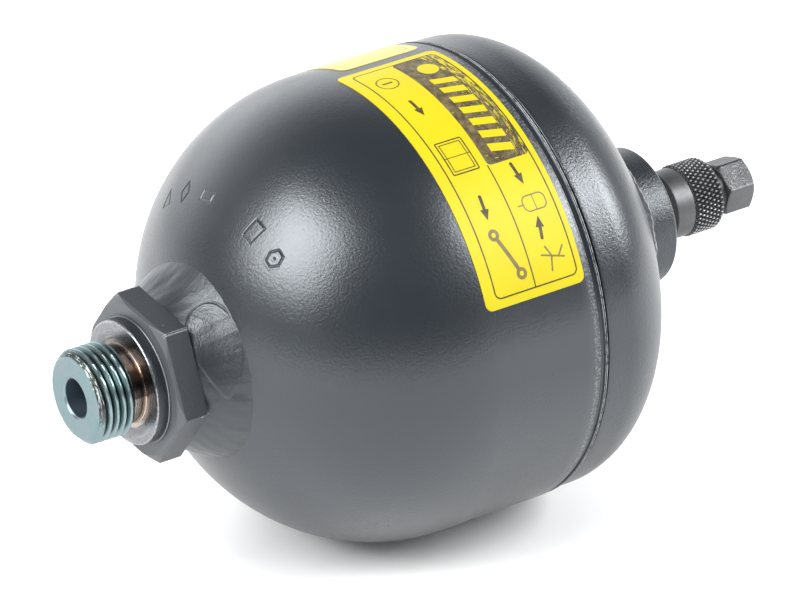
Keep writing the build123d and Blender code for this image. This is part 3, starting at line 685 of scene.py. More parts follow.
# ---------------------------------------------------------------- inside
def build_diaphragm():
    """Moulded rubber cup with its rim bead and its hub, from a closed profile that starts and ends
    on the axis: half ellipses of height 47.4 and 45.2 for the skin's two sides."""
    base, outside, inside, hub_r = 66.0, 51.0, 48.8, 17.7
    hub = polyline((28.48, 0, 0), (28.48, 8.3, 5), (26.38, 8.3, 2), (26.38, 5.3, 2), (24.58, 5.3, 2),
                   (24.58, 11.3, 3), (21.28, 11.3, 3), (21.28, hub_r, 5))
    turn = spread(math.asin(hub_r / outside), (math.pi / 2, 64))
    outer = half_ellipse(base, 47.4, outside, turn)
    bead = polyline((base, outside, 0), (84.2, outside, 12), (84.2, 51.22, 1), (84.5, 51.25, 1),
                    (89.5, 51.25, 4), (89.8, 50.9, 2), (89.8, 48.6, 3), (89.5, 48.25, 2),
                    (84.25, 48.25, 4), (84.2, inside, 1), (base, inside, 12))[1:]
    turn = spread(math.pi / 2, (math.asin(hub_r / inside), 64))[1:]
    inner = half_ellipse(base, 45.2, inside, turn)
    crown = polyline((25.68, hub_r, 0), (30.3, 8.3, 6), (30.48, 7.7, 1), (30.48, 0, 5))
    profile = np.concatenate([hub, outer, bead, inner, crown])
    return lathe("rubber_diaphragm", profile, round_clock(240), poles=True, crease=35)


def build_valve_spring():
    """Coil spring of the valve core: a circle carried along a helix, x rising evenly with the turn
    angle. Its start is drawn together in a point on the wire's middle, its far end in a point on the
    wire's outer side."""
    turns, mean, wire = 6.0, 0.95, 0.15
    start, end = 158.2, 165.0
    along = np.linspace(0, turns * TURN, 280)
    x = start + (end - start) * along / (turns * TURN)
    middle = np.stack([x, mean * np.cos(along), mean * np.sin(along)], axis=1)
    outward = np.stack([0 * x, np.cos(along), np.sin(along)], axis=1)
    tangent = np.gradient(middle, axis=0)
    tangent = tangent / np.linalg.norm(tangent, axis=1, keepdims=True)
    side = np.cross(tangent, outward)
    turn = round_clock(14)[:, None]
    ring = outward[:, None] * np.cos(turn) + side[:, None] * np.sin(turn)
    grid = middle[:, None] + wire * ring
    closed = drawn_together(grid[:-1], middle[0], grid[-1, 0])
    return skin("valve_spring", closed, poles=True, crease=50)


# ---------------------------------------------------------------- shader maths
class Value:
    """A number in a material: arithmetic on it adds Math nodes to the material's tree."""

    def __init__(self, tree, socket):
        self.tree = tree
        self.socket = socket

    def math(self, operation, *others):
        """A Math node of this operation on this number and up to two others."""
        node = self.tree.nodes.new("ShaderNodeMath")
        node.operation = operation
        for entry, item in zip(node.inputs, (self, *others)):
            plug(self.tree, entry, item)
        return Value(self.tree, node.outputs[0])

    def __add__(self, other):
        return self.math("ADD", other)

    def __radd__(self, other):
        return self.math("ADD", other)

    def __sub__(self, other):
        return self.math("SUBTRACT", other)

    def __rsub__(self, other):
        return self.math("MULTIPLY_ADD", -1.0, other)

    def __mul__(self, other):
        return self.math("MULTIPLY", other)

    def __rmul__(self, other):
        return self.math("MULTIPLY", other)

    def __truediv__(self, other):
        return self.math("DIVIDE", other)

    def __rtruediv__(self, other):
        return self.math("POWER", -1.0).math("MULTIPLY", other)

    def __pow__(self, other):
        return self.math("POWER", other)

    def __abs__(self):
        return self.math("ABSOLUTE")

    def least(self, other):
        """The smaller of this number and another."""
        return self.math("MINIMUM", other)

    def most(self, other):
        """The larger of this number and another."""
        return self.math("MAXIMUM", other)

    def between(self, low, high):
        """Smooth step from 0 at low to 1 at high; with low above high it falls instead."""
        flip = low > high
        if flip:
            low, high = high, low
        settings = {"interpolation_type": "SMOOTHSTEP"}
        node = add_node(self.tree, "ShaderNodeMapRange", settings, {0: self, 1: low, 2: high})
        step = Value(self.tree, node.outputs[0])
        return 1 - step if flip else step


def plug(tree, entry, item):
    """Gives an input socket a link from a Value or an output socket, or a plain number or colour."""
    if isinstance(item, Value):
        tree.links.new(item.socket, entry)
    elif isinstance(item, bpy.types.NodeSocket):
        tree.links.new(item, entry)
    elif entry.type == "RGBA" and len(item) == 3:
        entry.default_value = (*item, 1.0)
    else:
        entry.default_value = item


def add_node(tree, kind, settings=None, sockets=None):
    """Any node but a Math node: its settings are set first, then its sockets, by name or number."""
    node = tree.nodes.new(kind)
    for name, value in (settings or {}).items():
        setattr(node, name, value)
    for name, value in (sockets or {}).items():
        plug(tree, node.inputs[name], value)
    return node


class Finish:
    """One procedural material: object coordinates, patterns on them and the shader they feed."""

    def __init__(self, name):
        self.material = bpy.data.materials.new(name)
        self.material.use_nodes = True
        self.tree = self.material.node_tree
        self.shader = self.tree.nodes["Principled BSDF"]
        self.place = add_node(self.tree, "ShaderNodeTexCoord").outputs["Object"]
        self.across = None

    def axes(self):
        """The coordinates in millimetres."""
        parts = add_node(self.tree, "ShaderNodeSeparateXYZ", None, {0: self.place})
        return [Value(self.tree, out) * 1000.0 for out in parts.outputs]

    def round(self):
        """Place along the axis, radius and clock angle in degrees, from -90 to 270."""
        if self.across is None:
            x, y, z = self.axes()
            radius = (y * y + z * z).math("SQRT")
            turn = y.math("ARCTAN2", z) * (180 / math.pi)
            self.across = x, radius, turn + 90.0
        return self.across

    def vector(self, x, y, z):
        """A place made from three numbers."""
        return add_node(self.tree, "ShaderNodeCombineXYZ", None, {0: x, 1: y, 2: z}).outputs[0]

    def noise(self, per_mm, detail=2.0, rough=0.5, place=None):
        """Soft noise about 0.5, with this many cells to the millimetre."""
        sockets = {"Vector": place or self.place, "Scale": per_mm * 1000.0, "Detail": detail,
                   "Roughness": rough}
        return Value(self.tree, add_node(self.tree, "ShaderNodeTexNoise", None, sockets).outputs[0])

    def cells(self, per_mm, place=None):
        """Distance to the nearest of scattered points, as a share of their spacing."""
        sockets = {"Vector": place or self.place, "Scale": per_mm * 1000.0}
        return Value(self.tree, add_node(self.tree, "ShaderNodeTexVoronoi", None, sockets).outputs[0])

    def blend(self, share, first, second):
        """Colour between two colours, by a share from 0 to 1."""
        settings = {"data_type": "RGBA", "clamp_factor": True}
        return add_node(self.tree, "ShaderNodeMix", settings, {0: share, 6: first, 7: second}).outputs[2]

    def over(self, base, *coats):
        """Colour with coats laid over it one after the other, each a (share, colour)."""
        for share, colour in coats:
            base = self.blend(share, base, colour)
        return base

    def bump(self, height, depth_mm, below=None):
        """Normal of a bumped surface: height from 0 to 1 is this many millimetres."""
        sockets = {"Height": height, "Distance": depth_mm * MM, "Strength": 1.0}
        if below is not None:
            sockets["Normal"] = below
        return add_node(self.tree, "ShaderNodeBump", None, sockets).outputs[0]

    def feed(self, **inputs):
        """Sets the shader's sockets; underscores in the names stand for spaces."""
        for name, value in inputs.items():
            plug(self.tree, self.shader.inputs[name.replace("_", " ")], value)
        return self.material

    def painted(self, **inputs):
        """The same for painted steel: a glossy coat that reflects a little blue."""
        return self.feed(IOR=1.62, Specular_Tint=(0.90, 0.955, 1.0, 1.0), **inputs)


def dress(piece, material):
    """Gives a piece this one material."""
    piece.data.materials.clear()
    piece.data.materials.append(material)


# ---------------------------------------------------------------- finishes
PALE_DUST = (0.30, 0.31, 0.32)
UNLIT = (0.008, 0.0085, 0.009)  # steel that the stage's lights hardly reach

# Specks of dirt below the port weld: x, clock in degrees and radius.
DIRT = ((19.5, -83.5, 0.42), (20.0, -54.6, 0.34), (20.1, -46.4, 0.30), (16.9, -30.1, 0.26),
        (19.6, -36.0, 0.26))


def toned(colour, share):
    """The colour made darker or lighter."""
    return [c * share for c in colour]


def dust(finish, per_mm, size):
    """Share of the surface under scattered specks: 1 within size mm of some of the scattered points."""
    speck = finish.cells(per_mm) * (1 / per_mm)
    sparse = finish.noise(per_mm * 0.8, 1.0).between(0.56, 0.60)
    return speck.between(size, size * 0.5) * sparse


def scratches(finish, seed):
    """Share of the surface under short thin scratches: scattered points stretched about 27
    times along one slanted direction, kept in a few patches."""
    turned = add_node(finish.tree, "ShaderNodeMapping", None, {
        "Vector": finish.place, "Location": (seed, 0, 0), "Rotation": (0.6 + seed, 0.9, 0.3),
        "Scale": (90.0, 2400.0, 2400.0)}).outputs[0]
    line = finish.cells(0.001, turned).between(0.09, 0.04)
    patch = finish.noise(0.05, 2.0, 0.6).between(0.60, 0.65)
    return line * patch


def paint_finish(name, colours, peel_mm, peel_depth, seed, roughness=0.30, grit=0.0, dressed=""):
    """Charcoal paint with orange peel of this cell size and depth, dust and a few fine scratches.

    On the port side, a pale speckled strip lies along the edge at the seam, where the paint is duller and
    turned up a little, and specks of dirt lie below the port weld; on the gas side there is a dusty patch
    near the top; on the boss, a painted highlight runs along the end face's edge."""
    f = Finish(name)
    x, radius, clock = f.round()
    peel = f.noise(1 / peel_mm, 3.0, 0.6)
    slow = f.noise(0.06, 2.0, 0.5)
    specks = dust(f, 0.16, 0.16)
    base = f.blend(f.noise(0.02, 3.0).between(0.35, 0.7), colours.paint, toned(colours.paint, 1.12))
    base = f.over(base, (specks * 0.55, PALE_DUST), (scratches(f, seed) * 0.20, (0.17, 0.18, 0.19)))
    normal = f.bump(peel, peel_depth)
    rough = roughness + (slow - 0.5) * 0.10 + (peel - 0.5) * 0.08 + specks * 0.2
    if dressed == "port side":
        # A pale speckled strip along the edge at the seam.
        strip = x.between(91.5, 91.9) * x.between(93.7, 93.4) * f.noise(2.0, 3.0, 0.7).between(0.48, 0.60)
        base = f.blend(strip * 0.8, base, (0.14, 0.145, 0.15))
        for at_x, at_clock, size in DIRT:
            across = (clock - at_clock) * 0.44
            away = ((x - at_x) ** 2.0 * 2.6 + across * across).math("SQRT")
            base = f.blend(away.between(size, size * 0.5), base, (0.004, 0.003, 0.003))
        normal = f.bump(x.between(92.5, 95.0), 0.62, normal)
        rough = rough + x.between(91.2, 91.8) * 0.07
    if dressed == "gas side":
        patch = x.between(105.0, 107.5) * x.between(112.0, 109.5) * clock.between(56.0, 61.0)
        patch = patch * clock.between(76.0, 68.0) * f.noise(1.1, 3.0, 0.7).between(0.50, 0.60)
        base = f.blend(patch * 0.5, base, (0.085, 0.09, 0.095))
    if dressed == "boss":
        # Painted highlight: a pale line along the boss's end face edge.
        edge = radius.between(16.35, 16.6) * x.between(144.25, 144.45)
        base = f.blend(edge * 0.85, base, (0.30, 0.305, 0.31))
    if grit:
        normal = f.bump(f.noise(1.9, 3.0, 0.7), grit, normal)
    normal = f.bump(specks, 0.012, normal)
    return f.painted(Base_Color=base, Roughness=rough, Normal=normal)


def bead_finish(colours):
    """Painted girth weld with a fine grain and a painted highlight along its two ridges, pale in patches.
    """
    f = Finish("seam_paint")
    ridge = f.round()[1].between(55.10, 55.19)
    # Painted highlight: worn here makes the two ridges pale in patches.
    worn = f.noise(0.9, 3.0, 0.6).between(0.30, 0.52) * ridge
    base = f.blend(worn * 0.9, colours.paint, (0.33, 0.335, 0.34))
    normal = f.bump(f.noise(1.6, 3.0, 0.6), 0.02)
    rough = 0.33 + f.noise(0.8, 2.0) * 0.10
    return f.painted(Base_Color=base, Roughness=rough, Normal=normal)


def weld_finish(name, colours, grain, restart):
    """Painted weld with a fine grain. With a restart, a coarser grain shows in the bead's pad and on
    the flank by the shell; without one it comes and goes, and a painted highlight, pale in patches, runs
    along the weld's upper edge."""
    f = Finish(name)
    x, radius, clock = f.round()
    coarse = f.noise(0.95, 4.0, 0.62)
    fine = f.noise(2.8, 3.0, 0.65)
    base = f.blend(coarse.between(0.3, 0.8), toned(colours.paint, 0.92), toned(colours.paint, 1.25))
    base = f.blend(dust(f, 0.25, 0.14) * 0.6, base, PALE_DUST)
    if restart:
        pad = clock.between(30.0, 50.0) * clock.between(70.0, 60.0) * x.between(10.4, 12.0) * 0.85
        flank = x.between(13.5, 16.5) * clock.between(2.0, 14.0) * clock.between(96.0, 80.0) * 0.8
        busy = pad.most(flank) * 0.85 + 0.15
    else:
        busy = f.noise(0.10, 2.0).between(0.35, 0.65) * 0.6 + 0.2
        # Painted highlight: a pale line in patches along the weld's upper edge.
        crest = abs(radius - 17.10).between(0.34, 0.14) * f.noise(0.9, 2.0).between(0.30, 0.45)
        base = f.blend(crest * 0.85, base, (0.38, 0.385, 0.39))
    normal = f.bump(coarse * busy, 0.10 * grain)
    normal = f.bump(f.noise(2.0, 3.0, 0.7) * busy, 0.075 * grain, normal)
    normal = f.bump(fine, 0.06 * grain, normal)
    rough = 0.35 + (coarse - 0.5) * 0.20 * busy
    return f.painted(Base_Color=base, Roughness=rough, Normal=normal)


def zinc_colour(f, colours, drift, fine, hair, chamfer, inside):
    """Zinc on the stud: painted shade in the thread's valleys and a painted highlight on its crests, burnt
    and bright streaks on the lead-in cone, scattered dots, and bluer in the bore."""
    x, radius, clock = f.round()
    greener = (colours.zinc[0] * 0.86, colours.zinc[1], colours.zinc[2] * 0.96)
    # Painted shade: valley darkens the thread's valleys. Painted highlight: crest makes its crests pale.
    valley = radius.between(10.62, 10.16) * x.between(-11.7, -11.2) * radius.between(9.8, 9.95)
    crest = radius.between(10.90, 11.04) * hair.between(0.36, 0.56)
    upper = clock.between(-35.0, 15.0) * clock.between(150.0, 110.0)
    streak = f.noise(0.001, 3.0, 0.6, f.vector(x * 2.6, radius * 2.6, clock * 0.07))
    burnt = chamfer * streak.between(0.44, 0.50) * upper
    bright = chamfer * streak.between(0.42, 0.36) * upper
    ragged = abs(x + 11.25 + (fine - 0.5) * 0.7).between(0.26, 0.12) * radius.between(10.2, 10.6)
    dots = f.cells(0.45).between(0.10, 0.05) * f.noise(0.3, 1.0).between(0.58, 0.62)
    return f.over(
        f.blend(drift.between(0.35, 0.65), colours.zinc, greener),
        # The valley coat is painted shade and the crest coat is a painted highlight.
        (valley * 0.76, (0.018, 0.030, 0.030)),
        (crest * 0.28, (0.34, 0.42, 0.41)),
        (burnt * 0.9, (0.030, 0.019, 0.014)),
        (bright * 0.7, (0.50, 0.50, 0.49)),
        (ragged * streak.between(0.36, 0.46) * upper, (0.016, 0.012, 0.010)),
        (dots * 0.35, (0.07, 0.085, 0.085)),
        (inside, (0.17, 0.22, 0.27)))


def heat_tint_and_reflections(f, colours, fine):
    """Steel in the relief: bronze heat tint in clouds; warm and pale bands round the clock, which are
    painted reflections, the warm one partly heat tint too; painted shade beside the thread; and a painted
    highlight, a bright line at the sealing face."""
    x, _, clock = f.round()
    cloud = f.noise(0.22, 3.0, 0.6).between(0.42, 0.66)
    # Painted highlight: the bright line at the sealing face, gold below clock 4 degrees and pale grey above
    # 16.
    line = f.blend(clock.between(4.0, 16.0), (0.42, 0.34, 0.22), (0.40, 0.37, 0.36))
    return f.over(
        f.blend(cloud, (0.082, 0.069, 0.064), colours.bronze),
        # Painted reflections: the warm band from clock 24 to 58 degrees, partly heat tint, and the pale
        # bands from 66 up and below about 4; then painted shade beside the thread.
        (clock.between(24.0, 36.0) * clock.between(58.0, 46.0) * 0.8, (0.38, 0.245, 0.165)),
        (clock.between(66.0, 76.0) * 0.7, (0.26, 0.225, 0.19)),
        ((clock + (fine - 0.5) * 3.0).between(5.0, 3.6) * 0.9, (0.44, 0.385, 0.335)),
        (x.between(-2.3, -3.1) * 0.85, (0.040, 0.028, 0.022)),
        (abs(x + 0.05).between(0.18, 0.08) * 0.8, line))


def bare_colour(f, colours, fine):
    """Bare steel of the sealing face: darker inwards, clouded, with pale tool arcs and a pale rim."""
    _, radius, clock = f.round()
    arcs = f.noise(0.001, 2.0, 0.55, f.vector(radius * 3.4, clock * 0.03, 0.0)).between(0.52, 0.66)
    rim = abs(radius - 14.38 + (fine - 0.5) * 0.4).between(0.20, 0.06)
    return f.over(
        f.blend(radius.between(13.0, 11.3) * 0.8, colours.steel, (0.152, 0.141, 0.146)),
        (f.noise(0.9, 4.0, 0.65).between(0.50, 0.66) * 0.5, (0.10, 0.095, 0.095)),
        (arcs * 0.55, (0.34, 0.33, 0.33)),
        (rim * f.noise(1.3, 3.0, 0.7).between(0.40, 0.58) * 0.75, (0.37, 0.37, 0.39)))


def hexagon_colour(f, colours, fine, front):
    """Paint on the collar, hexagon and neck: paler on the front, with a painted highlight along the
    collar's foot that is strongest from clock -30 to 62 degrees, and chipped beside the corners and in a
    few scattered spots."""
    x, radius, clock = f.round()
    paint = f.blend(f.noise(0.06, 3.0).between(0.3, 0.7), colours.paint, toned(colours.paint, 1.15))
    paint = f.blend(front * (0.6 + fine * 0.4), paint, (0.054, 0.058, 0.063))
    off_corner = abs(((clock + 36.1) / 60.0).math("FRACT") - 0.5) * 60.0
    outer_edge = radius.between(19.0, 19.4)
    rubbed = abs(off_corner - 0.75).between(0.45, 0.2) * outer_edge
    rubbed = rubbed * x.between(3.4, 4.2) * clock.between(20.0, 30.0) * fine.between(0.3, 0.5)
    chip = f.cells(0.5).between(0.11, 0.07) * f.noise(0.4, 1.0).between(0.55, 0.58)
    chip = chip * radius.between(16.5, 17.5)
    nick = f.cells(0.8).between(0.30, 0.2) * off_corner.between(1.6, 1.0) * x.between(7.5, 8.5)
    nick = nick * clock.between(20.0, 10.0) * clock.between(-30.0, -20.0) * outer_edge
    # Painted highlight: a thin pale line along the collar's foot where its edge catches the light,
    # strongest from clock -30 to 62 degrees.
    foot = abs(radius - 14.98).between(0.12, 0.04) * abs(x - 2.86).between(0.2, 0.1)
    foot = foot * (clock.between(92.0, 62.0) * clock.between(-70.0, -30.0) * 0.45 + 0.2)
    # worn holds the painted highlight on the foot as well as the real chips and nicks.
    worn = foot.most(rubbed * 0.5).most(chip * 0.5).most(nick)
    return f.blend(worn * 0.7, paint, (0.46, 0.47, 0.48))


def port_finish(colours):
    """Port fitting: zinc on the stud with painted shade and highlight on its thread, heat-tinted steel with
    painted reflections, shade and highlight in the relief, bare turned steel on the sealing face and paint
    from the collar's edge back, with ragged borders between them, and a painted highlight along the
    collar's foot."""
    f = Finish("port_metal_and_paint")
    x, radius, _ = f.round()
    drift = f.noise(0.35, 3.0, 0.6)
    fine = f.noise(1.6, 3.0, 0.6)
    hair = f.noise(3.2, 3.0, 0.7)
    inside = radius.between(4.86, 4.70)
    chamfer = x.between(-11.15, -11.45) * radius.between(9.76, 9.86)
    front = radius.between(15.3, 15.6) * x.between(4.2, 3.9)
    in_relief = (x + (drift - 0.5) * 0.24).between(-3.25, -3.05)
    in_face = radius.between(10.45, 10.75) * x.between(-0.3, -0.1)
    in_paint = (x + (fine - 0.5) * 0.5).between(0.20, 0.28) * radius.between(10.9, 11.1)
    colour = f.over(
        zinc_colour(f, colours, drift, fine, hair, chamfer, inside),
        # Heat tint with painted reflections, shade and highlight in the relief.
        (in_relief, heat_tint_and_reflections(f, colours, fine)),
        (in_face, bare_colour(f, colours, fine)),
        (in_paint, hexagon_colour(f, colours, fine, front)))

    rings = (radius * 14.0 + fine * 1.2).math("SINE") * 0.5 + 0.5
    grooves = (x * 11.0 + fine * 1.5).math("SINE") * 0.5 + 0.5
    normal = f.bump(rings * in_face * (1 - in_paint), 0.010)
    normal = f.bump(grooves * in_relief * (1 - in_face) * (1 - in_paint), 0.008, normal)
    normal = f.bump(fine, 0.014, normal)
    normal = f.bump(hair * chamfer * (1 - in_relief), 0.10, normal)
    normal = f.bump(f.noise(1.3, 2.5, 0.6) * in_paint, 0.045, normal)
    normal = f.bump(f.noise(2.4, 3.0, 0.7) * in_paint, 0.030, normal)
    metal = 0.30 + (drift - 0.5) * 0.14 + chamfer * 0.15 + inside * 0.2 - in_relief * 0.05
    rough = metal + in_paint * (0.37 + front * 0.08 - metal)
    return f.painted(Base_Color=colour, Metallic=1 - in_paint, Roughness=rough, Normal=normal)


def cap_finish(colours):
    """Cap: dark phosphated steel, rubbed bright on the knurl's points, with painted shade between them and
    in the neck, dark on one corner, a painted shadow of the boss's rim on the root behind it, and pale
    specks of grain with a painted sparkle, strongest on its upper flat."""
    f = Finish("cap_steel")
    x, radius, clock = f.round()
    fine = f.noise(1.8, 3.0, 0.6)
    grip = x.between(156.2, 156.6) * x.between(165.3, 165.05)
    points = radius.between(8.66, 8.84) * grip * fine.between(0.2, 0.5)
    # Painted shade between the knurl's points.
    knurl_shade = radius.between(8.70, 8.44) * x.between(156.5, 157.0) * x.between(164.8, 164.2)
    # Painted shadow of the boss's rim on the cap's root.
    root = (x + (fine - 0.5) * 0.4).between(151.6, 151.1)
    # Painted shade in the neck between the knurl and the hexagon.
    neck = x.between(164.9, 165.2) * x.between(168.0, 167.4)
    hexagon = x.between(167.5, 168.2)
    upper_flat = clock.between(18.0, 22.0) * clock.between(77.0, 74.0)
    # Grain with a painted sparkle: pale specks, strongest on the upper flat that faces the light.
    speckle_and_sparkle = f.noise(1.5, 3.0, 0.7).between(0.40, 0.60) * hexagon * (upper_flat * 0.8 + 0.2)
    corner = abs(clock - 77.0).between(3.4, 1.8) * hexagon
    base = f.over(
        f.blend(f.noise(0.25, 3.0).between(0.35, 0.65), colours.cap, (0.090, 0.093, 0.098)),
        (points * 0.9, (0.44, 0.45, 0.46)),
        # Painted shade between the knurl's points, painted shadow on the root and painted shade in the
        # neck.
        (knurl_shade * 0.88, UNLIT),
        (root * 0.92, UNLIT),
        (neck * 0.8, (0.012, 0.0125, 0.0135)),
        (speckle_and_sparkle * 0.5, (0.145, 0.15, 0.155)),
        (corner * 0.85, (0.010, 0.0105, 0.011)))
    normal = f.bump(speckle_and_sparkle, 0.075, f.bump(fine, 0.03))
    rough = 0.45 + (fine - 0.5) * 0.2 + root * 0.35
    return f.feed(Base_Color=base, Metallic=0.55, Roughness=rough, Normal=normal, IOR=1.62)


# ---------------------------------------------------------------- label print
# Places on a label are (p, q) in millimetres: p from its port side, q up from its lower end.
ARROWS = (((7.2, 55.6), (7.3, 49.9)), ((7.4, 25.5), (6.8, 19.7)), ((18.9, 30.7), (19.5, 25.2)),
          ((18.5, 12.3), (19.4, 17.4)))
TWIG = (((16.9, 8.6), (22.6, 6.9)), ((18.4, 10.2), (19.6, 7.6)), ((21.2, 7.3), (22.9, 9.4)),
        ((19.4, 7.8), (18.6, 4.6)))
DISC_MIDDLE = (19.2, 65.6)
LABEL_MARGIN = 2.2  # from the label's ends to its printed outline
PRINT_SHIFT = 0.7  # of the main label's print towards the seam


def rounded_box(p, q, middle_p, middle_q, half_p, half_q, corner):
    """Signed distance to a rounded rectangle: outside it, the length of the parts of (|p|, |q|) past
    the straight sides; inside, the nearer of the two."""
    past_p = abs(p - middle_p) - (half_p - corner)
    past_q = abs(q - middle_q) - (half_q - corner)
    outside = (past_p.most(0.0) ** 2.0 + past_q.most(0.0) ** 2.0).math("SQRT")
    return outside + past_p.most(past_q).least(0.0) - corner


def spot(p, q, middle):
    """Distance to a point."""
    return ((p - middle[0]) ** 2.0 + (q - middle[1]) ** 2.0).math("SQRT")


def stroke(p, q, start, end):
    """Distance to a straight stroke: the foot of the point on the line, kept between its ends."""
    run_p, run_q = end[0] - start[0], end[1] - start[1]
    squared = run_p**2 + run_q**2
    off_p, off_q = p - start[0], q - start[1]
    along = (off_p * (run_p / squared) + off_q * (run_q / squared)).most(0.0).least(1.0)
    return ((off_p - along * run_p) ** 2.0 + (off_q - along * run_q) ** 2.0).math("SQRT")


def all_inks(inks):
    """The strongest of several shares of ink."""
    strongest = inks[0]
    for ink in inks[1:]:
        strongest = strongest.most(ink)
    return strongest


def inked(distance, half_width, soft=0.05):
    """Share of ink where a distance is less than half a line's width."""
    return distance.between(half_width + soft, half_width - soft)


def arrow(p, q, tail, tip):
    """Short plain arrow: a thin shaft and a wedge that widens back from the tip."""
    run = (tip[0] - tail[0], tip[1] - tail[1])
    reach = math.hypot(*run)
    unit = (run[0] / reach, run[1] / reach)
    back = (tip[0] - p) * unit[0] + (tip[1] - q) * unit[1]
    side = abs((p - tip[0]) * unit[1] - (q - tip[1]) * unit[0])
    head = inked(side - back * 0.42, 0.0) * back.between(-0.05, 0.05) * back.between(2.75, 2.65)
    notch = (tip[0] - unit[0] * 2.4, tip[1] - unit[1] * 2.4)
    return head.most(inked(stroke(p, q, tail, notch), 0.42))


def label_lines(p, q, long):
    """Generic drawing on the main label: a frame, a divider, a ring with a bar, plain arrows and a
    divided rectangle with a double outline."""
    outline = rounded_box(p, q, 13.65, long / 2, 11.25, long / 2 - LABEL_MARGIN, 1.5)
    book = rounded_box(p, q, 7.6, 36.6, 3.5, 4.5, 0.3)
    return all_inks([
        inked(abs(outline), 0.18),
        inked(stroke(p, q, (13.25, 2.3), (13.25, 32.0)), 0.17),
        inked(abs(spot(p, q, (7.2, 64.6)) - 2.6), 0.15),
        inked(stroke(p, q, (6.1, 64.6), (8.3, 64.6)), 0.30),
        inked(abs(book), 0.18),
        inked(abs(book + 0.75), 0.13),
        inked(stroke(p, q, (4.3, 36.6), (10.9, 36.6)), 0.11),
    ] + [arrow(p, q, tail, tip) for tail, tip in ARROWS])


def dark_field(f, p, q, long):
    """Share of the dark field on the main label: a rounded box with a pale disc and slanted bars left
    out of it, worn off in streaks and blotches, more of them towards the seam."""
    first_q = 31.9
    last_q = long - LABEL_MARGIN
    middle_q, half_q = (first_q + last_q) / 2, (last_q - first_q) / 2
    box = inked(rounded_box(p, q, 19.1, middle_q, 5.78, half_q, 1.3), 0.0)
    slanted = add_node(f.tree, "ShaderNodeMapping", None, {
        "Vector": f.vector(p, q, 0.0), "Rotation": (0, 0, 0.5), "Scale": (1.0, 0.16, 1.0)}).outputs[0]
    streak = f.noise(0.0017, 5.0, 0.7, slanted)
    worn = (streak + (p - 21.4) * 0.030 + (q - 40.0) * 0.0018).between(0.585, 0.66)
    worn = worn.most(f.noise(0.9, 5.0, 0.7).between(0.60, 0.70) * 0.75).least(0.92)
    lean = (q - 33.6 + (p - 19.0) * 0.22) / 3.95
    bars = inked(abs(lean.math("FRACT") - 0.5), 0.27, 0.015)
    bars = bars * inked(rounded_box(p, q, 19.1, 47.0, 2.95, 13.9, 0.1), 0.0)
    disc = inked(spot(p, q, DISC_MIDDLE), 2.55)
    return box * (1 - worn) * (1 - bars.most(disc))


def label_greys(p, q):
    """The drawing's lighter parts: a bar with a ring at each end, a capsule and a branched stroke."""
    capsule = rounded_box(p, q, 20.0, 20.6, 3.0, 1.85, 1.4)
    return all_inks([
        inked(stroke(p, q, (7.3, 14.6), (10.0, 7.6)), 0.50),
        inked(abs(stroke(p, q, (6.7, 16.1), (6.7, 16.2)) - 0.95), 0.42),
        inked(abs(stroke(p, q, (10.6, 6.1), (10.6, 6.2)) - 0.95), 0.42),
        inked(abs(capsule), 0.17),
        inked(stroke(p, q, (15.6, 20.6), (17.0, 20.6)), 0.16),
        inked(stroke(p, q, (20.0, 18.8), (20.0, 22.4)), 0.13),
    ] + [inked(stroke(p, q, *ends), 0.22) for ends in TWIG])


def label_finish(name, colours, place, rim, main):
    """Yellow label on a shell of this radius. The main one has the drawing and the dark field; the
    other one has an outline and a column of short lines."""
    f = Finish(name)
    x, _, clock = f.round()
    first_x, last_x, first_clock, last_clock, corner = place
    per_degree = rim * math.pi / 180
    q = (clock - first_clock) * per_degree
    long = (last_clock - first_clock) * per_degree
    grain = f.noise(0.5, 4.0, 0.65)
    base = f.blend(f.noise(0.10, 3.0).between(0.3, 0.7), colours.label, toned(colours.label, 0.96))
    if main:
        p = x - first_x - PRINT_SHIFT
        worn_ink = f.blend(grain.between(0.3, 0.75), colours.ink, (0.16, 0.125, 0.065))
        base = f.over(
            base,
            (label_greys(p, q) * (0.70 + grain * 0.45), (0.115, 0.093, 0.052)),
            (dark_field(f, p, q, long), worn_ink),
            (label_lines(p, q, long) * (0.72 + grain * 0.55), colours.ink))
    else:
        p = x - first_x
        line = inked(abs(rounded_box(p, q, 10.9, long / 2, 8.9, long / 2 - 2.0, 1.2)), 0.13)
        rows = inked(abs(((q - 8.0) / 6.0).math("FRACT") - 0.5), 0.06, 0.02)
        rows = rows * inked(rounded_box(p, q, 10.9, long / 2, 6.6, long / 2 - 7.0, 0.1), 0.0)
        base = f.blend(line.most(rows * 0.8) * (0.5 + grain * 0.7), base, colours.ink)
    edge = rounded_box(x, q, (first_x + last_x) / 2, long / 2, (last_x - first_x) / 2, long / 2, corner)
    smear = f.noise(0.12, 4.0, 0.6).between(0.58, 0.75)
    base = f.over(base, (edge.between(-0.16, -0.04) * 0.35, (0.20, 0.17, 0.06)),
                  (smear * 0.06, (0.58, 0.53, 0.20)))
    normal = f.bump(f.noise(0.7, 3.0, 0.6), 0.014)
    rough = (0.42 if main else 0.32) + (grain - 0.5) * 0.16
    return f.feed(Base_Color=base, Roughness=rough, Normal=normal, IOR=1.25 if main else 1.9)


# ---------------------------------------------------------------- hidden finishes
def turned_finish(name, colour, dark, roughness):
    """Machined metal: fine tool rings round the axis, cloudy colour and slight pitting."""
    f = Finish(name)
    x, radius, _ = f.round()
    cloud = f.noise(0.4, 3.0, 0.6)
    rings = ((x + radius) * 16.0 + cloud * 2.0).math("SINE") * 0.5 + 0.5
    base = f.blend(cloud.between(0.3, 0.75), colour, dark)
    normal = f.bump(f.noise(2.2, 3.0, 0.6), 0.01, f.bump(rings, 0.006))
    rough = roughness + (cloud - 0.5) * 0.18
    return f.feed(Base_Color=base, Metallic=1.0, Roughness=rough, Normal=normal)


